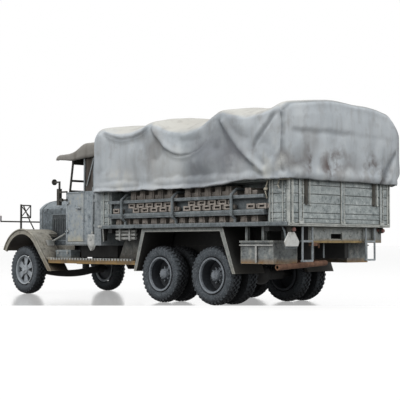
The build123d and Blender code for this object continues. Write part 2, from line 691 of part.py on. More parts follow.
def cover_section(station, inset):
    x, half, low, shoulder, top = station
    turn = shoulder_round - inset
    turn_y = half - shoulder_round
    edge_y = turn_y + turn
    bottom = low - 3 if inset else low
    mid_y = turn_y + turn * cos(radians(45))
    mid_z = shoulder + turn * sin(radians(45))
    with BuildSketch(Plane.YZ.offset(front_axle + x)) as section:
        with BuildLine():
            Polyline((-edge_y, shoulder), (-edge_y, bottom), (edge_y, bottom), (edge_y, shoulder))
            ThreePointArc((edge_y, shoulder), (mid_y, mid_z), (turn_y, shoulder + turn))
            ThreePointArc((turn_y, shoulder + turn), (0, top - inset), (-turn_y, shoulder + turn))
            ThreePointArc((-turn_y, shoulder + turn), (-mid_y, mid_z), (-edge_y, shoulder))
        make_face()
    return section.sketch


with BuildPart() as tarp_ledges:
    # ledges that rest on the side boards, their outer edges inside the cover's wall
    for sign in (1, -1):
        block((front_axle - 27.0, front_axle - 74.2), (sign * 12.2, sign * 16),
              (bed_side_top, bed_side_top + 0.5))
    loft([cover_section(station, tarp_wall / 2) for station in cover_stations], ruled=True,
         mode=Mode.INTERSECT)

with BuildPart() as tarp:
    loft([cover_section(station, 0) for station in cover_stations], ruled=True)
    # hollow inside, open at the bottom
    hollow = [hollow_ends[0]] + list(cover_stations[1:-1]) + [hollow_ends[1]]
    loft([cover_section(station, tarp_wall) for station in hollow], ruled=True, mode=Mode.SUBTRACT)
    add(tarp_ledges.part)
save(tarp.part, "tarp")

# ---- rear fenders, boxes and fittings under the bed ---------------------
rear_fender_sheet = 0.7
rear_fender_inner = 5.6
rear_fender_outer = 12.6
leg_front = front_axle - 36.6
leg_rear = front_axle - 62.2
shelf_front = front_axle - 38.9
shelf_rear = front_axle - 59.3
leg_end = 5.4


def rear_arch(inset):
    # outer line of the arch, or a line inside it
    return [(leg_front - inset, leg_end), (shelf_front - inset, bed_low - inset),
            (shelf_rear + inset, bed_low - inset), (leg_rear + inset, leg_end)]


with BuildPart() as rear_fenders:
    outline = rear_arch(0) + list(reversed(rear_arch(rear_fender_sheet)))
    side_plate(outline, rear_fender_outer, rear_fender_outer - rear_fender_inner)
    mirror(about=Plane.XZ)
save(rear_fenders.part, "rear_fenders")

with BuildPart() as rear_toolboxes:
    box_front = front_axle - 63.0
    box_rear = front_axle - 70.1
    block((box_front, box_rear), (6.4, 12.1), (7.1, 10.5))
    block((box_front + 0.15, box_rear - 0.15), (6.4, 12.3), (10.5, 10.8))
    # straps under the bed
    for x in (-63.8, -67.4):
        block((front_axle + x, front_axle + x - 0.5), (11.3, 11.9), (10.8, bed_low))
        block((front_axle + x, front_axle + x - 0.5), (6.6, 7.2), (10.8, bed_low))
    mirror(about=Plane.XZ)
save(rear_toolboxes.part, "rear_toolboxes")

with BuildPart() as tool_racks:
    # three rods in two straps under the bed
    for z in (11.3, 11.95, 12.6):
        round_x((front_axle - 30.6, front_axle - 36.1), 11.7, z, 0.28)
    for x in (-31.8, -34.6):
        block((front_axle + x, front_axle + x - 0.4), (11.2, 12.2), (10.9, bed_low))
    block((front_axle - 28.9, front_axle - 30.1), (10.0, 12.6), (12.0, bed_low), mode=Mode.SUBTRACT)
    mirror(about=Plane.XZ)
save(tool_racks.part, "tool_racks")

with BuildPart() as splash_panels:
    # tapered panel ahead of the rear fender, standing on the running board
    side_plate([(front_axle - 28.6, board_high), (front_axle - 31.6, bed_low), (front_axle - 36.3, bed_low),
                (front_axle - 36.3, board_high)], 9.6, 0.4)
    mirror(about=Plane.XZ)
save(splash_panels.part, "splash_panels")

with BuildPart() as step_ladders:
    rail_x = bed_rear - 0.3
    for y in (6.9, 9.3):
        wire([(rail_x, y, bed_low), (rail_x, y, 7.6)], 0.17)
    for z in (10.7, 7.6):
        block((rail_x - 0.15, rail_x + 0.35), (6.9, 9.3), (z - 0.15, z + 0.15))
    mirror(about=Plane.XZ)
save(step_ladders.part, "step_ladders")

with BuildPart() as tail_lamps:
    block((bed_rear + 0.6, bed_rear - 0.1), (11.0, 12.0), (12.1, bed_low))
    round_x((bed_rear - 0.1, bed_rear - 0.4), 11.5, 12.5, 0.4)
    mirror(about=Plane.XZ)
save(tail_lamps.part, "tail_lamps")

with BuildPart() as number_plate:
    plate_x = bed_rear + 0.1
    with BuildSketch(Plane.YZ.offset(plate_x)) as plate:
        with BuildLine():
            Polyline((10.1, 9.9), (12.9, 9.9), (13.2, 10.6), (12.2, 12.1), (10.9, 12.1), (9.8, 10.6),
                     close=True)
        make_face()
    extrude(plate.sketch, amount=-0.2)
    block((plate_x, plate_x + 0.3), (11.2, 11.8), (11.0, 12.1))
save(number_plate.part, "number_plate")

with BuildPart() as exhaust_pipe:
    # open pipe along the frame that turns out to the left behind the box
    pipe_radius = 0.45
    pipe_z = 7.2
    pipe_x = front_axle - 71.9
    wire([(front_axle - 46.0, 1.6, pipe_z), (pipe_x, 1.6, pipe_z), (pipe_x, 13.2, 6.6)], pipe_radius)
    round_y(pipe_x, (12.2, 13.6), 6.63, pipe_radius * 0.6, mode=Mode.SUBTRACT)
    # hangers under the cross members
    for x in (-48.3, -64.5):
        block((front_axle + x - 0.2, front_axle + x + 0.2), (1.4, 1.8), (pipe_z, rail_low + 0.3))
save(exhaust_pipe.part, "exhaust_pipe")

with BuildPart() as shovel:
    # blade hanging behind the cab's corner, its shaft clipped to the locker
    shaft_x = front_axle - 24.2
    side_plate([(shaft_x + 1.2, 12.0), (shaft_x + 1.4, 10.2), (shaft_x, 9.0), (shaft_x - 0.9, 10.2),
                (shaft_x - 0.9, 12.0)], 11.4, 0.3)
    wire([(shaft_x, 11.25, 11.4), (shaft_x, 11.25, 19.8)], 0.24)
    for z in (13.4, 18.4):
        block((shaft_x, front_axle - 25.3), (11.05, 11.45), (z, z + 0.5))
save(shovel.part, "shovel")
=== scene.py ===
# Small scale model of an old six-wheeled cargo truck: its looks and its studio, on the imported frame.
import math

import bpy
import bmesh
from mathutils import Matrix, Vector, noise


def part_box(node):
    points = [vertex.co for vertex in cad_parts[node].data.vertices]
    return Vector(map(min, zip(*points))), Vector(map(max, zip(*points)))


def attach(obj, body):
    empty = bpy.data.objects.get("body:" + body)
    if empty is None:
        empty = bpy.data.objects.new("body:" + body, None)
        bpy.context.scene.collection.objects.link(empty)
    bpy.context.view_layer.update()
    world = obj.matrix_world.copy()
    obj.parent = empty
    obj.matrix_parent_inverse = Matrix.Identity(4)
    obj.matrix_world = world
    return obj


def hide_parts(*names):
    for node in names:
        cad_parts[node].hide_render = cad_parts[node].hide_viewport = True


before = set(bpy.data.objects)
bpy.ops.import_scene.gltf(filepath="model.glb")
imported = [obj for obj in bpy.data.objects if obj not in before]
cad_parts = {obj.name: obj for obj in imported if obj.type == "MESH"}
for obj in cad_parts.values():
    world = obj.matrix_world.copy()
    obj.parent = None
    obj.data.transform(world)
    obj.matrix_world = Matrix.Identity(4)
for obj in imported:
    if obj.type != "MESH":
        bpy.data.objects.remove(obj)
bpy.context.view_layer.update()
mm = 0.001
tyreLow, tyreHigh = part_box("front_tyre_left")
frontAxle = (tyreLow.x + tyreHigh.x) / 2 / mm  # every x below is in mm from this axle, z from the ground
print("frame loaded,", len(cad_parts), "nodes, front axle at", round(frontAxle, 2), "mm")


def linear(hexColour):
    # sRGB hex to the linear numbers that a socket takes
    channels = []
    for start in (1, 3, 5):
        value = int(hexColour[start:start + 2], 16) / 255
        channels.append(value / 12.92 if value <= 0.04045 else ((value + 0.055) / 1.055) ** 2.4)
    return (*channels, 1.0)


def addNode(tree, kind, settings=None, inputs=None):
    # one node: its own settings, then for each socket a link, a colour or a number
    node = tree.nodes.new(kind)
    for key, value in (settings or {}).items():
        setattr(node, key, value)
    for key, value in (inputs or {}).items():
        if isinstance(value, bpy.types.NodeSocket):
            tree.links.new(value, node.inputs[key])
        else:
            node.inputs[key].default_value = linear(value) if isinstance(value, str) else value
    return node


def smoothStep(low, high, value):
    # 0 up to low, 1 from high on, an eased rise between them
    share = min(1.0, max(0.0, (value - low) / (high - low)))
    return share * share * (3 - 2 * share)


def bump(value, width):
    # a rounded hill of height 1 about nought
    return math.exp(-(value / width) ** 2)


def wave(*place):
    # smooth noise between about -1 and 1 at a place
    return noise.noise(Vector(place))


def readTable(table, x, column):
    # a column read on a smooth curve through the rows of a table, whose x falls from row to row
    x = min(table[0][0], max(table[-1][0], x))
    place = next(number for number in range(len(table) - 1) if x >= table[number + 1][0])
    rows = [table[max(place - 1, 0)], table[place], table[place + 1], table[min(place + 2, len(table) - 1)]]
    before, start, end, after = ((row[0], row[column]) for row in rows)
    span = start[0] - end[0]
    share = (start[0] - x) / span
    slopeIn = (end[1] - before[1]) / (before[0] - end[0]) * span
    slopeOut = (after[1] - start[1]) / (start[0] - after[0]) * span
    ease = share * share * (3 - 2 * share)
    return (start[1] + (end[1] - start[1]) * ease + slopeIn * share * (1 - share) ** 2
            - slopeOut * share * share * (1 - share))


def finish(bm, name, material, body="truck", replaced=(), sharp=None, shift=None, wall=0):
    # a bmesh in mm becomes a piece in the frame, smooth up to the angle in sharp, with a wall grown inwards
    bmesh.ops.translate(bm, verts=bm.verts, vec=shift or (frontAxle, 0, 0))
    bmesh.ops.scale(bm, verts=bm.verts, vec=(mm, mm, mm))
    mesh = bpy.data.meshes.new(name)
    bm.to_mesh(mesh)
    bm.free()
    if sharp is not None:
        mesh.shade_smooth()
        mesh.set_sharp_from_angle(angle=sharp)
    mesh.materials.append(material)
    piece = bpy.data.objects.new(name, mesh)
    bpy.context.scene.collection.objects.link(piece)
    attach(piece, body)
    if replaced:
        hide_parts(*replaced)
    if wall:
        shell = piece.modifiers.new("wall", "SOLIDIFY")
        shell.thickness = wall * mm
        shell.offset = -1.0


def addBox(bm, x, y, z):
    # a box between limits along each axis
    made = bmesh.ops.create_cube(bm, size=1.0)["verts"]
    bmesh.ops.scale(bm, verts=made, vec=(abs(x[1] - x[0]), abs(y[1] - y[0]), abs(z[1] - z[0])))
    bmesh.ops.translate(bm, verts=made, vec=((x[0] + x[1]) / 2, (y[0] + y[1]) / 2, (z[0] + z[1]) / 2))
    return made


def addRod(bm, start, end, radius, sides=10, endRadius=None):
    # a round rod or a taper between two points
    start, end = Vector(start), Vector(end)
    made = bmesh.ops.create_cone(bm, cap_ends=True, segments=sides, radius1=radius,
                                 radius2=radius if endRadius is None else endRadius,
                                 depth=(end - start).length)["verts"]
    turn = (end - start).to_track_quat("Z", "Y").to_matrix()
    bmesh.ops.rotate(bm, verts=made, cent=(0, 0, 0), matrix=turn)
    bmesh.ops.translate(bm, verts=made, vec=(start + end) / 2)
    return made


def addPath(bm, points, radius, sides=10):
    # a bent rod: straight runs with a ball at each bend
    for start, end in zip(points, points[1:]):
        addRod(bm, start, end, radius, sides)
    for corner in points[1:-1]:
        ball = bmesh.ops.create_icosphere(bm, subdivisions=2, radius=radius)["verts"]
        bmesh.ops.translate(bm, verts=ball, vec=corner)


def cutAlong(bm, axis, cuts):
    # cuts every edge that runs along an axis, so that a box becomes a grid
    parallel = [edge for edge in bm.edges
                if abs((edge.verts[0].co - edge.verts[1].co).normalized()[axis]) > 0.99]
    bmesh.ops.subdivide_edges(bm, edges=parallel, cuts=cuts, use_grid_fill=True)


def softenEdges(bm, width, segments=1, angle=0.6):
    # a small bevel on every edge sharper than an angle
    bm.normal_update()
    sharpEdges = [edge for edge in bm.edges if len(edge.link_faces) == 2 and edge.calc_face_angle(0) > angle]
    bmesh.ops.bevel(bm, geom=sharpEdges, offset=width, offset_type="OFFSET", segments=segments, profile=0.5,
                    affect="EDGES", clamp_overlap=True, material=-1)


def mirrorSide(bm):
    # adds the right-hand copy of everything made so far
    made = bmesh.ops.duplicate(bm, geom=bm.verts[:] + bm.edges[:] + bm.faces[:])["geom"]
    bmesh.ops.scale(bm, verts=[part for part in made if isinstance(part, bmesh.types.BMVert)], vec=(1, -1, 1))
    bmesh.ops.reverse_faces(bm, faces=[part for part in made if isinstance(part, bmesh.types.BMFace)])


def turnVerts(bm, verts, angle):
    # turns points about the wheel's axle
    bmesh.ops.rotate(bm, verts=verts, cent=(0, 0, 0), matrix=Matrix.Rotation(angle, 3, "Y"))


def spinProfile(bm, profile, steps):
    # turns points given as offset along the axle and radius, all the way round the axle
    ring = [bm.verts.new((0, across, radius)) for across, radius in profile]
    edges = [bm.edges.new(pair) for pair in zip(ring, ring[1:])]
    bmesh.ops.spin(bm, geom=ring + edges, cent=(0, 0, 0), axis=(0, 1, 0), angle=math.tau, steps=steps,
                   use_merge=True)


def closeRound(bm, flipped):
    # merges a turned shape's seam and poles, then points its faces outwards
    if flipped:
        bmesh.ops.scale(bm, verts=bm.verts, vec=(1, -1, 1))
    bmesh.ops.remove_doubles(bm, verts=bm.verts, dist=0.001)
    bmesh.ops.recalc_face_normals(bm, faces=bm.faces)


def buildTrim(name, look):
    # small fixed pieces from their rows: boxes, rods (ends, radius, sides, end radius), then bent rods
    bm = bmesh.new()
    for x, y, z in look.get("boxes", ()):
        addBox(bm, x, y, z)
    for row in look.get("rods", ()):
        addRod(bm, *row)
    for points, radius in look.get("paths", ()):
        addPath(bm, points, radius, 8)
    softenEdges(bm, look["soft"], look.get("segments", 1))
    if look.get("bothSides"):
        mirrorSide(bm)
    finish(bm, name, paint[look["paint"]], sharp=look.get("sharp"))


# what the enamels share: sizes in mm, and how much of each layer shows
enamelBasics = {
    "patchMm": 3.2, "streakMm": 0.7, "streaks": 0.35, "specks": 0.35, "scuffs": 0.55, "grimeAndFoldShade": 0.6,
    "washMm": 0.9, "washed": 0.85, "deepMm": 7.0, "deep": 0.0, "behind": 0.0, "deepTone": "#141210",
    "edgeMm": 0.16, "edges": 0.75, "mud": "#857a64", "mudTop": 1.0, "mudLow": 0.0, "mudAmount": 0.0,
    "rough": 0.72,
}
# Each row: base coat, second coat, dust, dark wash and rubbed edge, then how it differs from what they share.
# Model enamel, brushed thinly over cast resin: a dead flat grey with darker and paler patches, dry dust that
# runs down it, a dark wash left in every corner and edges rubbed pale. It never shines.
# Rows with a painted shade amount also darken, as painted shade, what lies deep under the body and each face
# turned down or to the middle, and some each face turned rearwards too.
enamels = {
    "body": ("#8a9297 #a1a9ae #c6cccc #3c4144 #d2d8d8", {"streaks": 0.45, "grimeAndFoldShade": 0.75, "mud": "#8f8672",
              "mudTop": 12.2, "mudLow": 9.6, "mudAmount": 0.55, "deep": 0.85}),
    "locker": ("#7f8588 #92989b #b3b9ba #34383a #bcc2c3", {"streaks": 0.5, "grimeAndFoldShade": 0.75}),
    "planks": ("#8f9797 #a8afae #cbd0cd #343938 #d2d7d4", {"patchMm": 2.2, "specks": 0.55, "scuffs": 0.75,
                "grimeAndFoldShade": 0.7, "edges": 0.65}),
    "posts": ("#a7acaa #bdc0bb #d6d7d0 #4c4d47 #e6e6dd", {"scuffs": 0.7, "grimeAndFoldShade": 0.8}),
    "door": ("#9aa2a7 #afb7bc #c6c0aa #4a5054 #dde2e2", {"streaks": 0.35, "grimeAndFoldShade": 0.6, "mud": "#c3b998",
              "mudTop": 12.2, "mudLow": 10.8, "mudAmount": 0.9}),
    "hood": ("#767e82 #8b9397 #a6adaf #33383a #b0b6b7", {"streaks": 0.3}),
    "hoodSide": ("#5b6367 #727a7e #9199a0 #23272a #9da4a5", {"streaks": 0.45, "grimeAndFoldShade": 0.85,
                  "scuffs": 0.6}),
    "louvre": ("#393d3f #484c4e #64686a #1b1e20 #7d8385", {"streaks": 0.35}),
    "fender": ("#928f86 #a6a092 #b9b6aa #413a30 #cbc8bb", {"grimeAndFoldShade": 0.75, "edges": 0.9, "mud": "#6c5c45",
                "mudTop": 9.0, "mudLow": 5.0, "mudAmount": 0.75, "deep": 0.95, "deepTone": "#1f1914"}),
    "rearFender": ("#7f8381 #9a9c98 #b1b1a9 #2e2f2d #c6c6bc", {"streaks": 0.45, "grimeAndFoldShade": 0.8, "edges": 0.9,
                    "mud": "#7d7462", "mudTop": 8.4, "mudLow": 5.4, "mudAmount": 0.55, "deep": 0.97,
                    "behind": 0.85, "edgeMm": 0.3}),
    "flap": ("#595c5b #6a6c69 #8d8c85 #2a2927 #9b9a92", {"grimeAndFoldShade": 0.75, "mud": "#6c5e49", "mudTop": 10.0,
              "mudLow": 7.2, "mudAmount": 0.7, "deep": 0.8}),
    "board": ("#4b4644 #5f5a55 #7d7466 #201d1b #b99b68", {"edges": 0.95, "edgeMm": 0.22, "deep": 0.7,
               "mud": "#a07f49", "mudTop": 7.5, "mudLow": 6.7, "mudAmount": 0.8}),
    "toolbox": ("#7b8488 #8e979b #a4a8a4 #303434 #bcc1c0", {"mud": "#a08a62", "mudTop": 8.2, "mudLow": 7.1,
                 "mudAmount": 0.55}),
    "rearBox": ("#6b7071 #858a8a #adada3 #2c2c29 #bcbdb4", {"grimeAndFoldShade": 0.85, "scuffs": 0.7, "mud": "#94703f",
                 "mudTop": 8.0, "mudLow": 7.2, "mudAmount": 0.9, "deep": 0.45}),
    # chassis: black paint, made darker still as painted shade for what lies under the body; underside: near
    # black, as painted shade under the bed
    "chassis": ("#161616 #1e1e1d #2c2a27 #0b0b0b #37342f", {"edges": 0.5}),
    "underside": ("#171819 #202223 #373937 #0e0f0f #4f514c", {"deep": 0.9}),
    "beam": ("#7f8382 #939795 #b0b1a9 #33332f #bebfb6", {"grimeAndFoldShade": 0.8, "scuffs": 0.7, "mud": "#94794a",
              "mudTop": 11.2, "mudLow": 10.6, "mudAmount": 0.9}),
    "muddied": ("#806c4c #978159 #bba36f #3b2f20 #c3b083", {"patchMm": 1.2, "grimeAndFoldShade": 0.8}),
    "rack": ("#636a6d #777e81 #9ca2a3 #222527 #b2b8b8", {"edgeMm": 0.12}),
    "fittings": ("#33322f #42403b #625f57 #171614 #7d796f", {"streaks": 0.2, "edges": 0.5}),
    "pale": ("#9fa19d #b6b7b3 #cfcec7 #464642 #dededa", {}),
}
# White metal cast in rubber moulds, then stained: a finely grained skin, black pits and bare rubbed edges.
foundry = {
    "links": ("#9a928a #b0a69c #c2b9af #272422 #d0c7bd", {"streaks": 0.35, "patchMm": 1.1, "edges": 0.75,
               "edgeMm": 0.1, "specks": 0.45, "rough": 0.8}),
    "rust": ("#62483b #745646 #937057 #281b15 #a9865f", {"patchMm": 1.4, "edges": 0.5, "specks": 0.5,
              "rough": 0.85}),
    "rimRear": ("#767c82 #868c92 #9ba0a5 #121416 #a3a8ac", {"washed": 0.95, "washMm": 1.2}),
    # dish: near black, as painted shade in the deep dish and drum inside each wheel
    "dish": ("#25282c #2e3237 #3a3e43 #0f1012 #6a6f74", {"edges": 0.4}),
    "rimFront": ("#9da4aa #b0b6bb #bdc2c4 #1d1f22 #cdd1d2", {"washed": 1.0, "washMm": 0.9}),
}


def startMaterial(name):
    # a new material, with its nodes and the piece's own coordinates in mm
    material = bpy.data.materials.new(name)
    material.use_nodes = True
    tree = material.node_tree
    place = addNode(tree, "ShaderNodeTexCoord")
    inMm = addNode(tree, "ShaderNodeVectorMath", {"operation": "SCALE"},
                   {0: place.outputs["Object"], "Scale": 1 / mm}).outputs[0]
    return material, tree, inMm


def layColours(tree, colour, layers):
    # coats over a colour: what each reads, where it starts and is full, how much it covers, its tone, and
    # for some what breaks it up
    for source, start, full, amount, tone, *breaks in layers:
        share = addNode(tree, "ShaderNodeMapRange", {},
                        {0: source, 1: start, 2: full, 3: 0.0, 4: amount}).outputs[0]
        for mask in breaks:
            share = addNode(tree, "ShaderNodeMath", {"operation": "MULTIPLY"}, {0: share, 1: mask}).outputs[0]
        colour = addNode(tree, "ShaderNodeMix", {"data_type": "RGBA"},
                         {0: share, 6: colour, 7: tone}).outputs[2]
    return colour


def closeSkin(tree, colour, grain, strength, depthMm, rough, specular):
    # colour, the relief of the grain, and how dull the skin is
    shader = tree.nodes["Principled BSDF"]
    tree.links.new(colour, shader.inputs["Base Color"])
    relief = addNode(tree, "ShaderNodeBump", {},
                     {"Height": grain, "Strength": strength, "Distance": depthMm * mm})
    tree.links.new(relief.outputs[0], shader.inputs["Normal"])
    shader.inputs["Roughness"].default_value = rough
    shader.inputs["Specular IOR Level"].default_value = specular


def weatheredFinish(name, tones, changes):
    # a painted or stained casting: patches, dust runs, scuffs, grains, mud low down, dark corners, bare
    # edges, and, where asked, painted shade under the body and on faces turned away
    look = {**enamelBasics, **changes}
    base, second, dust, wash, rubbed = tones.split()
    material, tree, inMm = startMaterial(name)
    upright = addNode(tree, "ShaderNodeMapping", {}, {"Vector": inMm, "Scale": (1.0, 1.0, 0.16)}).outputs[0]
    patches = addNode(tree, "ShaderNodeTexNoise", {}, {"Vector": inMm, "Scale": 1 / look["patchMm"],
                                                       "Detail": 5.0, "Roughness": 0.62}).outputs[0]
    streaks = addNode(tree, "ShaderNodeTexNoise", {},
                      {"Vector": upright, "Scale": 1 / look["streakMm"], "Detail": 3.0}).outputs[0]
    scuffs = addNode(tree, "ShaderNodeTexNoise", {},
                     {"Vector": inMm, "Scale": 1 / 0.9, "Detail": 6.0, "Roughness": 0.75}).outputs[0]
    # grains of pigment are far finer: 0.2 mm is as fine as shows
    grains = addNode(tree, "ShaderNodeTexNoise", {},
                     {"Vector": inMm, "Scale": 1 / 0.2, "Detail": 2.0}).outputs[0]
    height = addNode(tree, "ShaderNodeSeparateXYZ", {}, {0: inMm}).outputs[2]
    corners = addNode(tree, "ShaderNodeAmbientOcclusion", {"samples": 6},
                      {"Distance": look["washMm"] * mm}).outputs["AO"]
    rounded = addNode(tree, "ShaderNodeBevel", {"samples": 4}, {"Radius": look["edgeMm"] * mm})
    flat = addNode(tree, "ShaderNodeNewGeometry")
    edges = addNode(tree, "ShaderNodeVectorMath", {"operation": "DOT_PRODUCT"},
                    {0: rounded.outputs[0], 1: flat.outputs["Normal"]}).outputs["Value"]
    broken = addNode(tree, "ShaderNodeMapRange", {},
                     {0: patches, 1: 0.3, 2: 0.55, 3: 0.15, 4: 1.0}).outputs[0]
    layers = [(patches, 0.36, 0.66, 1.0, second),
              (streaks, 0.52, 0.74, look["streaks"], dust),
              (scuffs, 0.51, 0.64, look["scuffs"], dust),
              (scuffs, 0.47, 0.31, look["grimeAndFoldShade"], wash),
              (grains, 0.58, 0.72, look["specks"], wash),
              (height, look["mudTop"], look["mudLow"], look["mudAmount"], look["mud"], broken),
              (corners, 0.95, 0.35, look["washed"], wash),
              (edges, 0.995, 0.86, look["edges"], rubbed, broken)]
    if look["deep"]:
        # painted shade: darker deep under the body, and on each face turned down, rearwards or to the middle
        shadeByOcclusion = addNode(tree, "ShaderNodeAmbientOcclusion", {"samples": 6},
                         {"Distance": look["deepMm"] * mm})
        away = addNode(tree, "ShaderNodeSeparateXYZ", {}, {0: inMm}).outputs[1]
        facing = addNode(tree, "ShaderNodeSeparateXYZ", {}, {0: flat.outputs["Normal"]})
        outward = addNode(tree, "ShaderNodeMath", {"operation": "MULTIPLY"},
                          {0: away, 1: facing.outputs[1]}).outputs[0]
        layers += [(shadeByOcclusion.outputs["AO"], 0.66, 0.34, look["deep"], look["deepTone"]),
                   (outward, -1.0, -3.5, look["deep"] * 0.9, look["deepTone"]),
                   (facing.outputs[2], -0.2, -0.6, look["deep"] * 0.9, look["deepTone"]),
                   (facing.outputs[0], -0.3, -0.7, look["behind"], look["deepTone"])]
    closeSkin(tree, layColours(tree, base, layers), grains, 0.35, 0.03, look["rough"], 0.35)
    return material


def mouldedRubber(name, look):
    # tyre rubber as it leaves the mould, then dusted: dry, deep grey, with painted shade in its hollows and
    # between the wheels, so that whatever stands out shows paler
    material, tree, inMm = startMaterial(name)
    patches = addNode(tree, "ShaderNodeTexNoise", {},
                      {"Vector": inMm, "Scale": 1 / 1.6, "Detail": 5.0, "Roughness": 0.65}).outputs[0]
    # dust is far finer: 0.2 mm is as fine as shows
    dust = addNode(tree, "ShaderNodeTexNoise", {},
                   {"Vector": inMm, "Scale": 1 / 0.2, "Detail": 2.0}).outputs[0]
    # painted shade: darker in the tyre's hollows, and over a wider reach on the inner tyres and the treads
    # between the wheels
    corners = addNode(tree, "ShaderNodeAmbientOcclusion", {"samples": 6},
                      {"Distance": 1.6 * mm}).outputs["AO"]
    shadeByOcclusion = addNode(tree, "ShaderNodeAmbientOcclusion", {"samples": 6}, {"Distance": 7.0 * mm}).outputs["AO"]
    colour = layColours(tree, look["base"], ((patches, 0.35, 0.68, 1.0, look["second"]),
                                             (dust, 0.50, 0.72, 0.55, look["dust"]),
                                             (corners, 0.85, 0.25, 0.9, look["dark"]),
                                             (shadeByOcclusion, 0.72, 0.36, 0.95, look["dark"])))
    closeSkin(tree, colour, dust, 0.35, 0.04, 0.85, 0.25)
    return material


def mouldedCanvas(name, look):
    # resin cast from draped cloth: dead matt, bleached where it faces up, streaked by rain, stained low down,
    # with painted shade in its folds and hollows and painted highlights on its ridges
    material, tree, inMm = startMaterial(name)
    upright = addNode(tree, "ShaderNodeMapping", {}, {"Vector": inMm, "Scale": (1.0, 1.0, 0.2)}).outputs[0]
    broad = addNode(tree, "ShaderNodeTexNoise", {},
                    {"Vector": inMm, "Scale": 1 / 8.0, "Detail": 4.0, "Roughness": 0.55}).outputs[0]
    streaks = addNode(tree, "ShaderNodeTexNoise", {},
                      {"Vector": upright, "Scale": 1 / 1.7, "Detail": 4.0, "Roughness": 0.55}).outputs[0]
    ragged = addNode(tree, "ShaderNodeTexNoise", {},
                     {"Vector": inMm, "Scale": 1 / 2.2, "Detail": 4.0, "Roughness": 0.6}).outputs[0]
    # threads of the real cloth would be under 0.02 mm here: 0.25 mm is as fine as shows
    weave = addNode(tree, "ShaderNodeTexNoise", {},
                    {"Vector": inMm, "Scale": 1 / 0.25, "Detail": 3.0}).outputs[0]
    flat = addNode(tree, "ShaderNodeNewGeometry")
    facing = addNode(tree, "ShaderNodeSeparateXYZ", {}, {0: flat.outputs["Normal"]}).outputs[2]
    # painted shade: darker in the folds' grooves and in every hollow
    corners = addNode(tree, "ShaderNodeAmbientOcclusion", {"samples": 8},
                      {"Distance": 1.5 * mm}).outputs["AO"]
    # the mesh carries painted shade for each point deep in a fold, and below nought a painted highlight where
    # it stands on a ridge
    foldShading = addNode(tree, "ShaderNodeAttribute", {"attribute_name": "foldShade"}).outputs["Fac"]
    torn = addNode(tree, "ShaderNodeMapRange", {}, {0: ragged, 1: 0.38, 2: 0.56, 3: 0.0, 4: 1.0}).outputs[0]
    layers = [(broad, 0.36, 0.64, 1.0, look["second"]),
              (streaks, 0.50, 0.72, look["streaks"], look["pale"]),
              (streaks, 0.46, 0.26, look["streaks"], look["brown"]),
              (facing, 0.55, 0.86, look["bleach"], look["top"]),
              (ragged, 0.53, 0.70, 0.35, look["brown"]),
              (corners, 0.92, 0.45, 0.65, look["dark"]),
              (foldShading, -0.1, -0.7, 0.6, look["pale"]),
              (foldShading, 0.1, 0.9, 0.75, look["dark"])]
    # stains about a place on the cloth, on a wandering grid so that none is round
    wander = addNode(tree, "ShaderNodeTexNoise", {}, {"Vector": inMm, "Scale": 1 / 4.5, "Detail": 3.0})
    shift = addNode(tree, "ShaderNodeVectorMath", {"operation": "MULTIPLY_ADD"},
                    {0: wander.outputs["Color"], 1: (9, 9, 9), 2: (-4.5, -4.5, -4.5)}).outputs[0]
    bent = addNode(tree, "ShaderNodeVectorMath", {"operation": "ADD"}, {0: inMm, 1: shift}).outputs[0]
    # stains, painted shade and painted highlights about a place on the cloth, on a wandering grid so that
    # none is round
    for x, y, z, radius, amount, ragEdge, tone in look["stainsShadesAndHighlights"]:
        away = addNode(tree, "ShaderNodeVectorMath", {"operation": "DISTANCE"},
                       {0: bent, 1: (frontAxle + x, y, z)}).outputs["Value"]
        layers.append((away, radius, radius * 0.25, amount, tone, *([torn] if ragEdge else [])))
    closeSkin(tree, layColours(tree, look["base"], layers), weave, 0.3, 0.07, 0.9, 0.15)
    return material


paint = {name: weatheredFinish(f"resin_enamelled_{name}", *row) for name, row in enamels.items()}
paint.update({name: weatheredFinish(f"cast_metal_{name}", *row) for name, row in foundry.items()})
# painted card, cut with a knife: smooth, off-white, plain, no figures on it
paint["plate"] = weatheredFinish("card_painted_plate", "#cfd0cc #dadbd7 #b8b3a6 #86847c #e4e4e0", {})
# clear red resin, drop cast over the tail lamps: smoother than the paint about it, dulled by dust
paint["lens"] = weatheredFinish("tinted_resin_lens", "#5c3b36 #6a453f #8d685d #3a1d19 #a9776a",
                                {"rough": 0.35})
# oilcloth, stretched over the seat: brown, worn smooth on its crowns
paint["seat"] = weatheredFinish("oilcloth_seat", "#4b4037 #5a4e43 #6c6053 #241f1b #75695c", {"rough": 0.55})
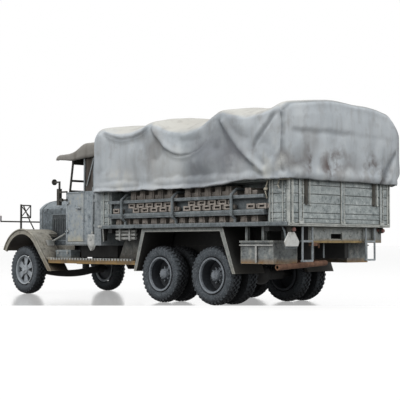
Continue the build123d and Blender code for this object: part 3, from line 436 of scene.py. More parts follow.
# hemp line, twisted and stiff with glue: pale, dry, dirty between its turns
paint["lashing"] = weatheredFinish("hemp_lashing", "#b3ac98 #c4beac #d3cebf #6c675a #ddd9cb", {})
rubber = mouldedRubber("rubber_moulded_tyre",
                       {"base": "#43474b", "second": "#545a5f", "dust": "#868a8d", "dark": "#121315"})
coverCanvas = mouldedCanvas("resin_cast_canvas_grey", {
    "base": "#b4babe", "second": "#c5cacd", "pale": "#d4d7d7", "brown": "#8f8b86", "top": "#cdcac1",
    "dark": "#55595d", "streaks": 0.42, "bleach": 0.85,
    # x, y, z, radius, how much, whether its edge is ragged, colour
    "stainsShadesAndHighlights": (
        (-75, 13.2, 22.9, 3.4, 0.65, False, "#7f7b78"), (-75, 10.2, 22.4, 2.6, 0.8, True, "#6b6462"),
        (-75, 2.9, 22.3, 3.6, 0.9, True, "#675b57"), (-75, -1.0, 22.6, 3.4, 0.55, False, "#7a7471"),
        (-75, -5.9, 22.9, 2.6, 0.85, True, "#6a625f"), (-75, -9.6, 21.6, 3.0, 0.7, True, "#5f5b5a"),
        (-75, 8.6, 25.6, 3.0, 0.4, False, "#8a8581"), (-75, -3.0, 31.0, 9.0, 0.3, False, "#c3c9cd"),
        (-75, 7.0, 30.0, 6.0, 0.35, False, "#c3c9cd"), (-75, -9.0, 26.4, 3.0, 0.35, False, "#c6cbce"),
        (-75, 6.4, 21.0, 1.9, 1.0, True, "#cdd1d1"), (-75, 0.2, 20.6, 2.4, 0.8, True, "#c9cdcd"),
        (-75, -5.0, 20.5, 2.0, 0.7, True, "#cbcdca"), (-75, 12.0, 20.8, 2.2, 0.6, True, "#c7cbcb"),
        # on the sides these are painted shade where dark, under the bows and in the pockets, and painted
        # highlights where pale, on the swells and along the hem
        (-61.5, 14.9, 25.6, 7.0, 0.65, False, "#6f7176"), (-56.0, 14.9, 23.6, 6.0, 0.6, False, "#6e7177"),
        (-44.6, 14.9, 26.6, 4.4, 0.55, False, "#7c7671"), (-64.5, 14.9, 23.4, 4.0, 0.4, False, "#77757a"),
        (-70.4, 14.9, 25.0, 3.0, 0.25, False, "#7a7f84"), (-50.5, 14.9, 22.8, 4.0, 0.55, False, "#c6c9c8"),
        (-52.0, 14.7, 27.4, 4.2, 0.45, False, "#8b9397"), (-31.5, 14.8, 30.4, 3.0, 0.4, False, "#c4c8ca"),
        (-39.0, 14.9, 23.6, 4.5, 0.3, False, "#86837f"), (-46.0, 14.9, 22.8, 4.5, 0.35, False, "#c0bfba"),
        (-35.5, 14.9, 25.5, 4.5, 0.35, False, "#c3c7c9"), (-35.0, 14.9, 21.0, 4.5, 0.55, True, "#d6d5ce"),
        (-50.0, 14.9, 20.4, 4.0, 0.5, True, "#cfd0cd"), (-64.0, 14.9, 20.8, 3.6, 0.5, True, "#c9cccd"),
        (-70.6, 14.9, 21.0, 2.8, 0.85, True, "#d3d4ce"), (-50.0, 9.0, 32.0, 7.0, 0.3, False, "#b0aa9e"),
        (-66.0, 8.0, 33.0, 6.5, 0.25, False, "#aaa69f"), (-74.4, 14.4, 26.0, 1.3, 0.5, True, "#d8dad7"),
        (-74.6, 14.0, 22.0, 1.8, 0.75, True, "#d3d4d0"),
    )})
roofCanvas = mouldedCanvas("resin_cast_canvas_brown", {
    "base": "#8a8781", "second": "#9c9892", "pale": "#b0aca5", "brown": "#625b54", "top": "#a3a099",
    "dark": "#3b3733", "streaks": 0.45, "bleach": 0.5, "stainsShadesAndHighlights": ()})
curtainCanvas = mouldedCanvas("resin_cast_canvas_dark", {
    "base": "#58524d", "second": "#69645e", "pale": "#7f7b75", "brown": "#443f3a", "top": "#77746e",
    "dark": "#2a2724", "streaks": 0.5, "bleach": 0.2, "stainsShadesAndHighlights": ()})
print("materials made:", len(bpy.data.materials))

cover = {
    "front": -26.0, "rear": -75.0, "cutsAlong": 150, "cutsAcross": 72, "cutsUp": 52, "cornerCells": 8,
    "frontRound": 2.3, "rearRound": 1.1, "crownPower": 2.6, "wall": 0.4, "seam": 0.85, "rightShoulder": 3.0,
    # x, height of the shoulder's edge, half width there, height of the crown, shoulder radius, hem height
    "stations": ((-26.0, 30.9, 14.6, 32.7, 2.0, 20.0), (-29.6, 31.3, 14.8, 33.0, 1.2, 19.9),
                 (-32.0, 30.7, 14.7, 32.8, 0.8, 19.9), (-36.2, 30.2, 14.6, 32.6, 0.7, 19.8),
                 (-41.0, 30.7, 14.7, 32.8, 0.8, 19.8), (-43.9, 31.4, 14.9, 33.1, 1.0, 19.7),
                 (-47.4, 29.9, 14.6, 32.8, 0.7, 19.7), (-51.5, 29.2, 14.5, 32.5, 0.7, 19.6),
                 (-55.7, 29.7, 14.6, 32.6, 0.7, 19.7), (-58.8, 31.1, 14.8, 33.0, 0.9, 19.8),
                 (-61.0, 31.9, 14.9, 33.3, 1.0, 20.0), (-64.0, 31.1, 14.8, 33.0, 0.8, 20.2),
                 (-67.2, 30.7, 14.7, 32.8, 0.7, 20.4), (-71.0, 31.1, 14.8, 33.0, 0.8, 20.4),
                 (-73.6, 31.9, 14.9, 33.4, 1.0, 20.3), (-75.0, 31.8, 14.8, 33.4, 1.1, 20.3)),
    # hanging pockets, each a line of x, z
    "folds": (
        ((-29.6, 31.0), (-33.0, 29.7), (-35.7, 29.1), (-38.8, 29.2), (-41.6, 29.8), (-43.6, 31.0)),
        ((-43.9, 31.6), (-45.2, 29.2), (-47.3, 26.7), (-49.4, 25.6), (-51.6, 25.1), (-54.0, 25.2),
         (-56.2, 25.8), (-58.2, 27.3), (-59.6, 29.1), (-60.6, 31.2)),
        ((-60.8, 31.2), (-62.2, 28.7), (-63.6, 27.0), (-65.2, 25.2), (-67.0, 23.7), (-68.8, 22.4),
         (-70.9, 20.9)),
        ((-73.7, 31.0), (-72.0, 29.0), (-70.3, 27.5), (-69.2, 26.5), (-68.4, 25.0), (-68.1, 23.5)),
        ((-30.0, 23.4), (-33.6, 22.9), (-36.6, 22.6), (-40.0, 22.5), (-43.0, 22.2), (-48.0, 22.0)),
    ),
    # for each: how far its roll stands out, the groove under it, how far up the roll fades, how soft its edge
    # is, where along it the fold starts to die away, and how strong the painted shade under it and the
    # painted highlight above it are
    "depths": ((0.50, 0.26, 1.0, 0.30, 0.90, 0.7), (0.88, 0.28, 2.8, 0.30, 0.42, 0.8),
               (0.80, 0.18, 2.0, 0.28, 0.94, 0.9), (0.42, 0.30, 1.8, 0.60, 0.62, 0.45),
               (0.0, 0.10, 1.0, 0.60, 0.80, 0.15)),
    # soft ridges down from the bows: line, how far out, width
    "ridges": ((((-43.9, 31.1), (-45.0, 28.7), (-45.3, 26.2), (-44.9, 23.7)), 0.40, 1.0),
               (((-29.8, 31.0), (-29.6, 27.0), (-29.4, 22.5)), 0.25, 1.6),
               (((-60.6, 30.6), (-60.4, 27.5), (-59.6, 24.5)), 0.45, 1.3),
               (((-48.6, 21.2), (-54.0, 21.6), (-60.0, 22.2), (-66.0, 22.6)), 0.15, 1.4)),
    # broad dishes and swells: x, z, reach along and up, how far out
    "swells": ((-36.8, 26.0, 5.0, 3.0, -0.40), (-56.8, 23.9, 5.0, 2.2, -0.70), (-52.0, 28.4, 4.5, 1.4, -0.35),
               (-66.0, 28.8, 3.0, 1.6, -0.40), (-47.5, 23.8, 3.0, 2.0, -0.30),
               (-70.2, 24.6, 1.6, 2.6, -0.55)),
}


def nearLine(points, x, z):
    # distance to a broken line, positive above it or to its rear, and how far along it
    best = (1e9, 0.0)
    for index, ((x0, z0), (x1, z1)) in enumerate(zip(points, points[1:])):
        along = ((x - x0) * (x1 - x0) + (z - z0) * (z1 - z0)) / ((x1 - x0) ** 2 + (z1 - z0) ** 2)
        along = min(1.0, max(0.0, along))
        dx, dz = x - (x0 + (x1 - x0) * along), z - (z0 + (z1 - z0) * along)
        away = math.hypot(dx, dz)
        if away < abs(best[0]):
            above = (x1 - x0) * dz - (z1 - z0) * dx < 0
            best = (away if above else -away, (index + along) / (len(points) - 1))
    return best


def sideRelief(x, z, seed):
    # how far a side of the cover stands out at x, z, and the painted shade of its folds there, below nought a
    # painted highlight on a roll
    out, foldShade = 0.0, 0.0
    for line, (roll, groove, wide, soft, last, grimeAndFoldShade) in zip(cover["folds"], cover["depths"]):
        away, along = nearLine(line, x, z)
        ends = smoothStep(0.0, 0.10, along) * smoothStep(1.0, last, along)
        rolled = smoothStep(-soft, soft, away) * math.exp(-max(0.0, away - soft) / wide)
        out += ends * (roll * rolled - groove * bump(away + soft, soft + 0.15))
        # painted shade along the groove under each roll, and a painted highlight on the roll above it
        foldShade += ends * grimeAndFoldShade * (bump(away + 0.15, 0.42) - 0.6 * bump(away - 0.9, 0.55))
    for line, height, wide in cover["ridges"]:
        away, along = nearLine(line, x, z)
        out += height * bump(away, wide) * smoothStep(0.0, 0.1, along) * smoothStep(1.0, 0.7, along)
    for atX, atZ, reachX, reachZ, height in cover["swells"]:
        out += height * bump(x - atX, reachX) * bump(z - atZ, reachZ)
    # the hem rolls out over its tie line, then turns under
    out += (0.16 + 0.10 * wave(x / 4.0, seed, 0)) * bump(z - 21.0, 0.8)
    out -= 0.30 * bump(z - 19.8, 0.5)
    out += 0.20 * wave(x / 4.2, z / 6.0, seed)
    out += 0.07 * wave(x / 1.5, z / 3.4, seed + 4.0)
    return out, foldShade


def endRelief(y, z, seed):
    # a plain hood above a crease that fades to the right, soft upright folds hanging below it
    middle = 28.4 - 0.0016 * y * y + 0.25 * wave(y / 3.0, seed, 1.0)
    drawn = 0.35 + 0.65 * smoothStep(-5.0, 2.0, y)
    out = drawn * (0.24 * smoothStep(middle - 0.5, middle + 0.4, z) - 0.10 * bump(z - middle + 0.5, 0.45))
    # painted shade along the crease
    foldShade = drawn * drawn * smoothStep(14.6, 12.0, y) * 0.3 * bump(z - middle + 0.35, 0.6)
    out -= 0.3 * smoothStep(29.0, 33.4, z) ** 2
    hanging = smoothStep(middle, middle - 2.5, z)
    out += 0.42 * hanging * wave(y / 2.1, z / 9.0, seed)
    out += 0.08 * wave(y / 0.9, z / 3.0, seed + 3.0)
    away, along = nearLine(((-14.4, 26.6), (-13.2, 24.8), (-11.9, 22.9), (-10.0, 20.4)), y, z)
    fold = smoothStep(0.0, 0.15, along)
    out += fold * (0.40 * bump(away - 0.5, 0.6) - 0.50 * bump(away + 0.35, 0.5))
    # painted shade under the diagonal fold, and a painted highlight above it
    foldShade += fold * (0.8 * bump(away + 0.2, 0.4) - 0.6 * bump(away - 0.7, 0.5))
    out += 0.30 * bump(z - 21.2, 0.8) - 0.3 * bump(z - 19.9, 0.5)
    return out, foldShade


def alongCover(share):
    # how far along the cover a row of the grid stands, and how much its rounded ends have drawn it in
    cells, corner = cover["cutsAlong"] + 1, cover["cornerCells"]
    step = share * cells
    front, rear = cover["front"], cover["rear"]
    if step < corner:
        turn = step / corner * math.pi / 2
        return front - cover["frontRound"] * (1 - math.cos(turn)), cover["frontRound"] * (1 - math.sin(turn))
    if step > cells - corner:
        turn = (cells - step) / corner * math.pi / 2
        return rear + cover["rearRound"] * (1 - math.cos(turn)), cover["rearRound"] * (1 - math.sin(turn))
    first, last = front - cover["frontRound"], rear + cover["rearRound"]
    return first + (last - first) * (step - corner) / (cells - 2 * corner), 0.0


def shapeCover(share, across, up):
    # a point of the box's grid to its place on the draped cover, with the painted shade of its folds there
    # (below nought a painted highlight)
    foldShade = 0.0
    x, drawn = alongCover(share)
    edge, wide, crown, shoulder, hem = (readTable(cover["stations"], x, column) for column in range(1, 6))
    if across < 0:
        shoulder = max(shoulder, cover["rightShoulder"] * smoothStep(-68.0, -73.5, x))
    onEnd = share < 1e-6 or share > 1 - 1e-6
    y, z = across * wide, hem + (edge - hem) * up
    innerY, innerZ = min(abs(y), wide - shoulder), min(z, edge - shoulder)
    outY, outZ = abs(y) - innerY, z - innerZ
    length = math.hypot(outY, outZ)
    if outY > 1e-6 and outZ > 1e-6:
        reach = max(outY, outZ) if onEnd else shoulder
        y = math.copysign(innerY + outY / length * reach, across)
        z = innerZ + outZ / length * reach
    domed = 1 - min(1.0, abs(y) / wide) ** cover["crownPower"]
    z += (crown - edge) * domed * smoothStep(hem + 3, edge, z) ** 2
    y *= 1 - drawn / wide
    z -= drawn * 0.8 * smoothStep(hem + 2, edge, z)
    if onEnd:
        inside = min(1.0, (1 - abs(across)) * 9) * min(1.0, (1 - up) * 9)
        relief, foldShade = endRelief(y, z, 5.0 if share > 0.5 else 21.0)
        x += (-relief if share > 0.5 else 0.5 * relief) * inside
    elif length > 1e-6:
        seed = 11.0 if across > 0 else 37.0
        sideX = x if across > 0 else cover["front"] + cover["rear"] - x - 1.5
        ends = smoothStep(2.3, 0.3, drawn)
        sideways, upwards = outY / length, outZ / length
        side, foldShade = sideRelief(sideX, z, seed)
        seam = bump(drawn - 0.3, 0.22) * smoothStep(20.6, 22.5, z) if share > 0.5 else 0.0
        torn = 0.9 + 0.5 * wave(seed, seed, z / 0.9)
        side = (side - cover["seam"] * seam) * ends * sideways
        # painted shade along the rear seam, ragged, with a painted highlight just beside it
        foldShade = foldShade * ends * sideways + 0.75 * torn * seam - 0.5 * bump(drawn - 0.9, 0.2) * seam
        top = (0.22 * wave(x / 5.0, y / 6.0, 2.0)
               + 0.06 * wave(x / 1.7, y / 2.4, 7.0)) * ends * smoothStep(0.6, 1.0, upwards)
        y += math.copysign(side * sideways, across)
        z += side * upwards + top
    if up < 0.02:
        z += 0.20 * wave(x / 2.4, y / 2.4, 9.0) + 0.06 * wave(x / 0.6, y / 0.6, 3.0)
    return Vector((x, y, z)), foldShade


def buildCover():
    # a box without its floor, cut into a fine grid, draped, then eased once
    bm = bmesh.new()
    bmesh.ops.create_cube(bm, size=1.0)
    bmesh.ops.translate(bm, verts=bm.verts, vec=(0.5, 0, 0.5))
    bmesh.ops.scale(bm, verts=bm.verts, vec=(1, 2, 1))
    bmesh.ops.delete(bm, geom=[face for face in bm.faces if face.normal.z < -0.5], context="FACES_ONLY")
    for axis, cuts in enumerate((cover["cutsAlong"], cover["cutsAcross"], cover["cutsUp"])):
        cutAlong(bm, axis, cuts)
    # each point keeps the painted shade of its folds, for the canvas to read
    foldShadeLayer = bm.verts.layers.float.new("foldShade")
    for vert in bm.verts:
        vert.co, vert[foldShadeLayer] = shapeCover(*vert.co)
    bmesh.ops.smooth_vert(bm, verts=[vert for vert in bm.verts if not vert.is_boundary], factor=0.5,
                          use_axis_x=True, use_axis_y=True, use_axis_z=True)
    bmesh.ops.recalc_face_normals(bm, faces=bm.faces)
    finish(bm, "canvasCover", coverCanvas, replaced=("tarp",), sharp=math.pi,
           wall=cover["wall"])


buildCover()
print("cover shaped")

roof = {
    "front": -10.9, "rear": -24.9, "half": 11.45, "sheet": 0.5, "cuts": (56, 44),
    "flat": 0.84,  # share of the half width that lies flat, before each side turns down
    "crown": 0.55, "lip": 0.25,
    # x, height at the side, lower edge of the side
    "stations": ((-10.9, 27.7, 27.2), (-11.6, 28.05, 27.0), (-13.6, 28.0, 26.8), (-15.5, 28.16, 26.6),
                 (-17.1, 28.54, 26.6), (-18.7, 29.33, 26.7), (-19.9, 29.74, 26.8), (-21.0, 29.79, 26.8),
                 (-22.6, 29.68, 26.9), (-24.9, 29.1, 26.9)),
}


def buildRoof():
    # canvas hood of the cab: low over the windscreen, rising in a step over the seats
    bm = bmesh.new()
    bmesh.ops.create_grid(bm, x_segments=roof["cuts"][0], y_segments=roof["cuts"][1], size=1.0)
    for vert in bm.verts:
        share, across = (1 - vert.co.x) / 2, vert.co.y
        x = roof["front"] + (roof["rear"] - roof["front"]) * share
        side, low = readTable(roof["stations"], x, 1), readTable(roof["stations"], x, 2)
        over = min(1.0, abs(across) / roof["flat"])
        drop = smoothStep(roof["flat"], 1.0, abs(across))
        y = math.copysign(roof["half"] * over, across)
        z = side + roof["crown"] * (1 - over ** 2.4)
        if drop > 0:
            z = side - (side - low) * (abs(across) - roof["flat"]) / (1 - roof["flat"])
            y += math.copysign(0.12 * drop * wave(x / 1.6, 3.0, 5.0), across)
        z += 0.10 * wave(x / 1.4, y / 4.0, 8.0) * (1 - drop)
        # turned-down lip over the windscreen
        z -= roof["lip"] * smoothStep(0.05, 0.0, share)
        vert.co = (x, y, z)
    bmesh.ops.smooth_vert(bm, verts=bm.verts, factor=0.5, use_axis_x=True, use_axis_y=True, use_axis_z=True)
    bmesh.ops.recalc_face_normals(bm, faces=bm.faces)
    if max(bm.faces, key=lambda face: face.calc_center_median().z).normal.z < 0:
        bmesh.ops.reverse_faces(bm, faces=bm.faces)
    finish(bm, "cabRoofCanvas", roofCanvas, replaced=("cab_roof",), sharp=math.pi,
           wall=roof["sheet"])


curtain = {
    "sheet": ((-19.5, -22.9), (10.62, 10.84), (20.45, 27.5)), "cuts": ((0, 14), (2, 10)),
    "wave": 0.13, "lean": 0.35,
    "hem": ((-19.45, -19.75), (10.6, 11.0), (20.4, 27.6)),
    "strap": ((-22.8, 11.06, 27.0), (-20.5, 11.06, 21.5)), "strapRadius": 0.16, "strapFlat": 0.4,
}


def buildCurtains():
    # side curtain behind the door, wavy and darker, with the pale strap that ties it down
    bm = bmesh.new()
    addBox(bm, *curtain["sheet"])
    for axis, cuts in curtain["cuts"]:
        cutAlong(bm, axis, cuts)
    for vert in bm.verts:
        turn = vert.co.x * 4.2 + 0.4 * math.sin(vert.co.z)
        vert.co.y += curtain["wave"] * math.sin(turn) * smoothStep(20.4, 22.0, vert.co.z)
        if vert.co.x > -20:
            vert.co.x -= curtain["lean"] * smoothStep(24.0, 27.5, vert.co.z)
    mirrorSide(bm)
    finish(bm, "sideCurtains_canvas", curtainCanvas, replaced=("side_curtains",),
           sharp=0.9)
    bm = bmesh.new()
    addBox(bm, *curtain["hem"])
    strap = addRod(bm, *curtain["strap"], curtain["strapRadius"], 8)
    about = Matrix.Translation((0, -curtain["strap"][0][1], 0))
    bmesh.ops.scale(bm, verts=strap, vec=(1, curtain["strapFlat"], 1), space=about)
    softenEdges(bm, 0.04)
    mirrorSide(bm)
    finish(bm, "curtainStraps", paint["locker"])


bench = {
    "half": 9.4, "channels": 8, "cuts": 71, "dipBack": 0.22, "dipDown": 0.18,
    # x and z of the cushion, then of the back
    "pads": (((-17.6, -22.05), (10.75, 14.2)), ((-21.0, -22.05), (14.0, 19.2))),
}


def buildSeat():
    # bench with a row of upright stitched channels in its back and its cushion
    bm = bmesh.new()
    half = bench["half"]
    for x, z in bench["pads"]:
        addBox(bm, x, (-half, half), z)
    long = [edge for edge in bm.edges if abs(edge.verts[0].co.y - edge.verts[1].co.y) > 5]
    bmesh.ops.subdivide_edges(bm, edges=long, cuts=bench["cuts"], use_grid_fill=True)
    for vert in bm.verts:
        crown = abs(math.sin((vert.co.y + half) / (2 * half) * math.pi * bench["channels"])) ** 0.6
        if vert.co.x > -22 and vert.co.z > 11:
            vert.co.x -= bench["dipBack"] * (1 - crown)
            vert.co.z -= bench["dipDown"] * (1 - crown)
    softenEdges(bm, 0.3, 3, 1.0)
    finish(bm, "cabSeat", paint["seat"], replaced=("seat",), sharp=0.7)


buildRoof()
buildCurtains()
buildSeat()
print("cab canvas and seat made")

tyre = {
    "radius": 4.97, "width": 2.4, "lugs": 36, "steps": 72, "slant": 0.087, "stagger": 0.04,
    # half profile from the bead to the middle of the tread: share of the half width, radius
    "profile": ((0.62, 3.03), (0.74, 3.10), (0.88, 3.30), (0.97, 3.66), (1.0, 4.02), (0.97, 4.36),
                (0.90, 4.58), (0.80, 4.72), (0.60, 4.78), (0.0, 4.80)),
    # of a shoulder lug and of a middle block: half length round the tread, reach across it, foot's radius
    "lug": (0.25, (0.46, 1.17), 4.55), "block": (0.2, (0.05, 0.38), 4.6),
}


def buildTyre(name, body, x, faceY, sign, replaced=()):
    # a carcass spun from its profile, with small lugs round each shoulder and blocks in the middle
    half, top = tyre["width"] / 2, tyre["radius"] - 0.01
    bm = bmesh.new()
    profile = [(share * half, reach) for share, reach in tyre["profile"]]
    spinProfile(bm, profile + [(-across, reach) for across, reach in reversed(profile[:-1])], tyre["steps"])
    closeRound(bm, False)
    (lugHalf, lugReach, lugFoot), (blockHalf, blockReach, blockFoot) = tyre["lug"], tyre["block"]
    for number in range(tyre["lugs"]):
        turn = math.tau * number / tyre["lugs"]
        for side in (1, -1):
            lugY, blockY = [side * reach for reach in lugReach], [side * reach for reach in blockReach]
            lug = addBox(bm, (-lugHalf, lugHalf), lugY, (lugFoot, top))
            for vert in lug:
                if abs(vert.co.y) > 1.0:
                    vert.co.z -= 0.24 if vert.co.z > 4.7 else 0.15
                    vert.co.x *= 0.8
            block = addBox(bm, (-blockHalf, blockHalf), blockY, (blockFoot, top))
            turnVerts(bm, block, tyre["slant"])
            turnVerts(bm, lug + block, turn + side * tyre["stagger"])
    finish(bm, name, rubber, body=body, replaced=replaced, sharp=0.7,
           shift=(frontAxle + x, faceY - sign * half, tyre["radius"]))


wheel = {
    # half width over the tyres at each axle, and the width of a pair of rear tyres
    "frontFace": 11.65, "rearFace": 12.15, "twin": 6.4, "hubHeight": 4.97,
    "rearAxles": ((1, -43.1), (2, -56.1)),
    "frontInset": 0.38, "rearInset": 0.3,  # how far inside its tyre's face each hub has its origin
    "spokes": 6, "bolts": 8,
    # turned profiles: offset outwards along the axle, and radius
    "frontLip": ((0.22, 3.03), (0.3, 2.96), (0.26, 2.82), (0.02, 2.70), (-0.3, 2.62), (-1.9, 2.56),
                 (-1.95, 3.03)),
    "frontHub": ((0.5, 0.0), (0.48, 0.34), (0.36, 0.48), (0.3, 0.52), (0.3, 0.86), (0.12, 0.98), (-0.9, 1.05),
                 (-0.9, 0.0)),
    "frontDrum": ((-0.8, 0.0), (-0.8, 1.6), (-1.1, 2.58), (-1.4, 2.58), (-1.4, 0.0)),
    "rearDish": ((-0.05, 2.68), (-0.4, 2.64), (-2.0, 2.5), (-2.25, 1.9), (-2.3, 0.0)),
    "rearBands": ((-0.1, 3.03), (-2.1, 3.03), (-2.4, 2.7), (-3.7, 2.7), (-4.0, 3.03), (-6.1, 3.03),
                  (-6.15, 2.7), (-4.4, 2.6), (-4.2, 0.6)),
    "rearLip": ((-0.2, 3.03), (0.18, 3.03), (0.26, 2.95), (0.22, 2.74), (0.02, 2.66), (-0.2, 2.66)),
    "rearHub": ((-0.28, 0.0), (-0.3, 0.38), (-0.4, 0.5), (-0.48, 0.74), (-0.62, 0.86), (-1.4, 0.98),
                (-1.7, 1.3), (-2.3, 1.4)),
}


def finishWheel(bm, name, look, body, x, faceY, sign, replaced=()):
    # closes a turned part of a wheel and sets it on its axle
    closeRound(bm, sign < 0)
    finish(bm, name, paint[look], body=body, replaced=replaced, sharp=0.6,
           shift=(frontAxle + x, sign * faceY, wheel["hubHeight"]))


def buildFrontWheel(side, sign):
    # cast wheel: rolled lip, six broad spokes with dark openings, drum behind in near black painted shade,
    # domed cap and nuts
    body, faceY = f"front_wheel_{side}", wheel["frontFace"] - wheel["frontInset"]
    bm = bmesh.new()
    spinProfile(bm, wheel["frontLip"], 48)
    spinProfile(bm, wheel["frontHub"], 24)
    for number in range(wheel["spokes"]):
        arm = addBox(bm, (-0.36, 0.36), (-0.75, -0.10), (0.8, 2.66))
        for vert in arm:
            if vert.co.z > 2:
                vert.co.x *= 2.0
                vert.co.y -= 0.12
        nut = addRod(bm, (0.34, 0.28, 0.60), (0.34, 0.42, 0.60), 0.1, 6)
        turnVerts(bm, arm + nut, math.tau * number / wheel["spokes"])
    finishWheel(bm, f"frontWheel_{side}", "rimFront", body, 0.0, faceY, sign, (f"front_rim_{side}",))
    bm = bmesh.new()
    spinProfile(bm, wheel["frontDrum"], 32)
    addRod(bm, (0, -3.9, 0), (0, -1.2, 0), 0.5, 20)
    finishWheel(bm, f"frontDrum_{side}", "dish", body, 0.0, faceY, sign)


def buildRearWheel(number, x, side, sign):
    # pair of wheels back to back: a bright lip, a deep dish darkened as painted shade and a ribbed drum that
    # stands out to the lip
    body, faceY = f"rear_wheelset_{number}", wheel["rearFace"] - wheel["rearInset"]
    bm = bmesh.new()
    spinProfile(bm, wheel["rearDish"], 48)
    spinProfile(bm, wheel["rearBands"], 32)
    finishWheel(bm, f"rearDish_{number}_{side}", "dish", body, x, faceY, sign)
    bm = bmesh.new()
    spinProfile(bm, wheel["rearLip"], 48)
    spinProfile(bm, wheel["rearHub"], 24)
    for step in range(wheel["bolts"]):
        nut = addRod(bm, (0, -0.5, 0.62), (0, -0.36, 0.62), 0.09, 6)
        rib = addBox(bm, (-0.08, 0.08), (-2.2, -0.95), (0.9, 1.22))
        bolt = addRod(bm, (0, -2.35, 1.75), (0, -2.0, 1.75), 0.15, 6)
        turnVerts(bm, nut + rib + bolt, math.tau * step / wheel["bolts"])
    finishWheel(bm, f"rearWheel_{number}_{side}", "rimRear", body, x, faceY, sign,
                (f"rear_rims_{number}",) if sign > 0 else ())


for side, sign in (("left", 1), ("right", -1)):
    buildTyre(f"frontTyre_{side}", f"front_wheel_{side}", 0.0, sign * wheel["frontFace"], sign,
              (f"front_tyre_{side}",))
    buildFrontWheel(side, sign)
    for number, x in wheel["rearAxles"]:
        for place, inwards in (("outer", 0.0), ("inner", wheel["twin"] - tyre["width"])):
            first = (side, place) == ("left", "outer")
            buildTyre(f"rearTyre_{number}_{side}_{place}", f"rear_wheelset_{number}", x,
                      sign * (wheel["rearFace"] - inwards), sign, (f"rear_tyres_{number}",) if first else ())
        buildRearWheel(number, x, side, sign)
print("wheels built")

track = {
    "pitch": 2.45, "ring": 1.78, "ringHeight": 0.86, "ringBar": 0.27, "ringFaces": (12.5, 13.42),
    # rings seen face on: height of their middle, x of the first, how many
    "rings": ((16.25, -31.6, 1), (16.25, -37.2, 5), (16.25, -50.6, 5), (17.12, -36.0, 5), (17.12, -51.8, 4),
              (16.25, -65.5, 2)),
    # links seen end on: low and high z, height of the windows' sill, x of the first, how many
    "webs": ((13.8, 14.85, 13.8, -31.6, 15), (17.9, 19.75, 18.95, -35.8, 5), (17.9, 19.75, 18.95, -50.2, 5),
             (17.9, 19.3, 18.9, -64.4, 1)),
    "webLength": 1.3, "webFaces": (9.8, 12.6), "webSplay": 0.12,
}


def buildTrackLinks():
    # spare links: rows of hollow rings face on, and webs end on with open windows between their tops
    bm = bmesh.new()
    bar, (back, face) = track["ringBar"], track["ringFaces"]
    for middle, first, count in track["rings"]:
        low, high = middle - track["ringHeight"] / 2, middle + track["ringHeight"] / 2
        for step in range(count):
            x, end = first - track["pitch"] * step, first - track["pitch"] * step - track["ring"]
            for z in ((low, low + bar), (high - bar, high)):
                addBox(bm, (x, end), (back, face), z)
            for barX in ((x, x - bar * 1.3), (end + bar * 1.3, end)):
                addBox(bm, barX, (back, face - 0.03), (low + bar * 0.7, high - bar * 0.7))
            addBox(bm, (x - 0.2, end + 0.2), (back, face - 0.5), (low + 0.1, high - 0.1))
            # pin's ear into the gap before the next ring
            addBox(bm, (end - 0.1, end - 0.42), (back, face - 0.25), (low + 0.1, high - 0.1))
    inner, outer = track["webFaces"]
    for low, high, sill, first, count in track["webs"]:
        for step in range(count):
            x, end = first - track["pitch"] * step, first - track["pitch"] * step - track["webLength"]
            for vert in addBox(bm, (x, end), (inner, outer), (low, high)):
                if vert.co.z < sill + 0.1:
                    vert.co.x += math.copysign(track["webSplay"], vert.co.x - (x + end) / 2)
            addBox(bm, (x - 0.3, end + 0.3), (outer - 0.05, outer + 0.12), (low + 0.15, high - 0.2))
            if sill > low:
                gapEnd = end - track["pitch"] + track["webLength"]
                addBox(bm, (end + 0.1, gapEnd), (inner, outer - 0.25), (low, sill))
    softenEdges(bm, 0.04)
    mirrorSide(bm)
    finish(bm, "trackLinks", paint["links"], replaced=("spare_links",))


rack = {
    "ends": (-30.6, -69.5), "lower": (14.9, 15.75), "upper": (17.58, 18.12), "faces": (12.1, 13.8),
    "brackets": (-30.9, -68.8), "bolts": (-31.4, -41.8, -55.6, -68.6),
    # clamps: the x of each, then the y and z of its bent rod from the top inwards
    "clamps": (-34.8, -48.5, -62.7), "clampRadius": 0.25,
    "clampLine": ((9.9, 19.2), (12.75, 19.2), (14.02, 18.2), (14.02, 14.95), (13.1, 14.35), (13.1, 13.75)),
}


def buildTrackRacks():
    # channel for the links: a deep lower rail, a slim upper one, brackets, and clamps hooked over both
    bm = bmesh.new()
    ends, (inner, outer), (low, high), upper = rack["ends"], rack["faces"], rack["lower"], rack["upper"]
    addBox(bm, ends, (inner, inner + 0.35), (low, upper[1]))
    addBox(bm, ends, (inner, outer - 0.12), (low, high))
    addBox(bm, ends, (outer - 0.3, outer), (low + 0.32, high - 0.08))
    addBox(bm, ends, (inner, outer), upper)
    for x in rack["brackets"]:
        addBox(bm, (x, x - 0.6), (9.8, inner), (low + 0.3, high + 1.8))
    for x in rack["bolts"]:
        for z in (low + 0.58, upper[0] + 0.28):
            addRod(bm, (x, outer, z), (x, outer + 0.09, z), 0.13, 6)
    softenEdges(bm, 0.06)
    for x in rack["clamps"]:
        addPath(bm, [(x, y, z) for y, z in rack["clampLine"]], rack["clampRadius"], 8)
        addRod(bm, (x, 13.7, 15.3), (x, 14.35, 15.3), 0.2, 6)
    mirrorSide(bm)
    finish(bm, "trackRacks", paint["rack"], replaced=("track_racks",), sharp=0.6)


buildTrackLinks()
buildTrackRacks()
print("track links and racks built")

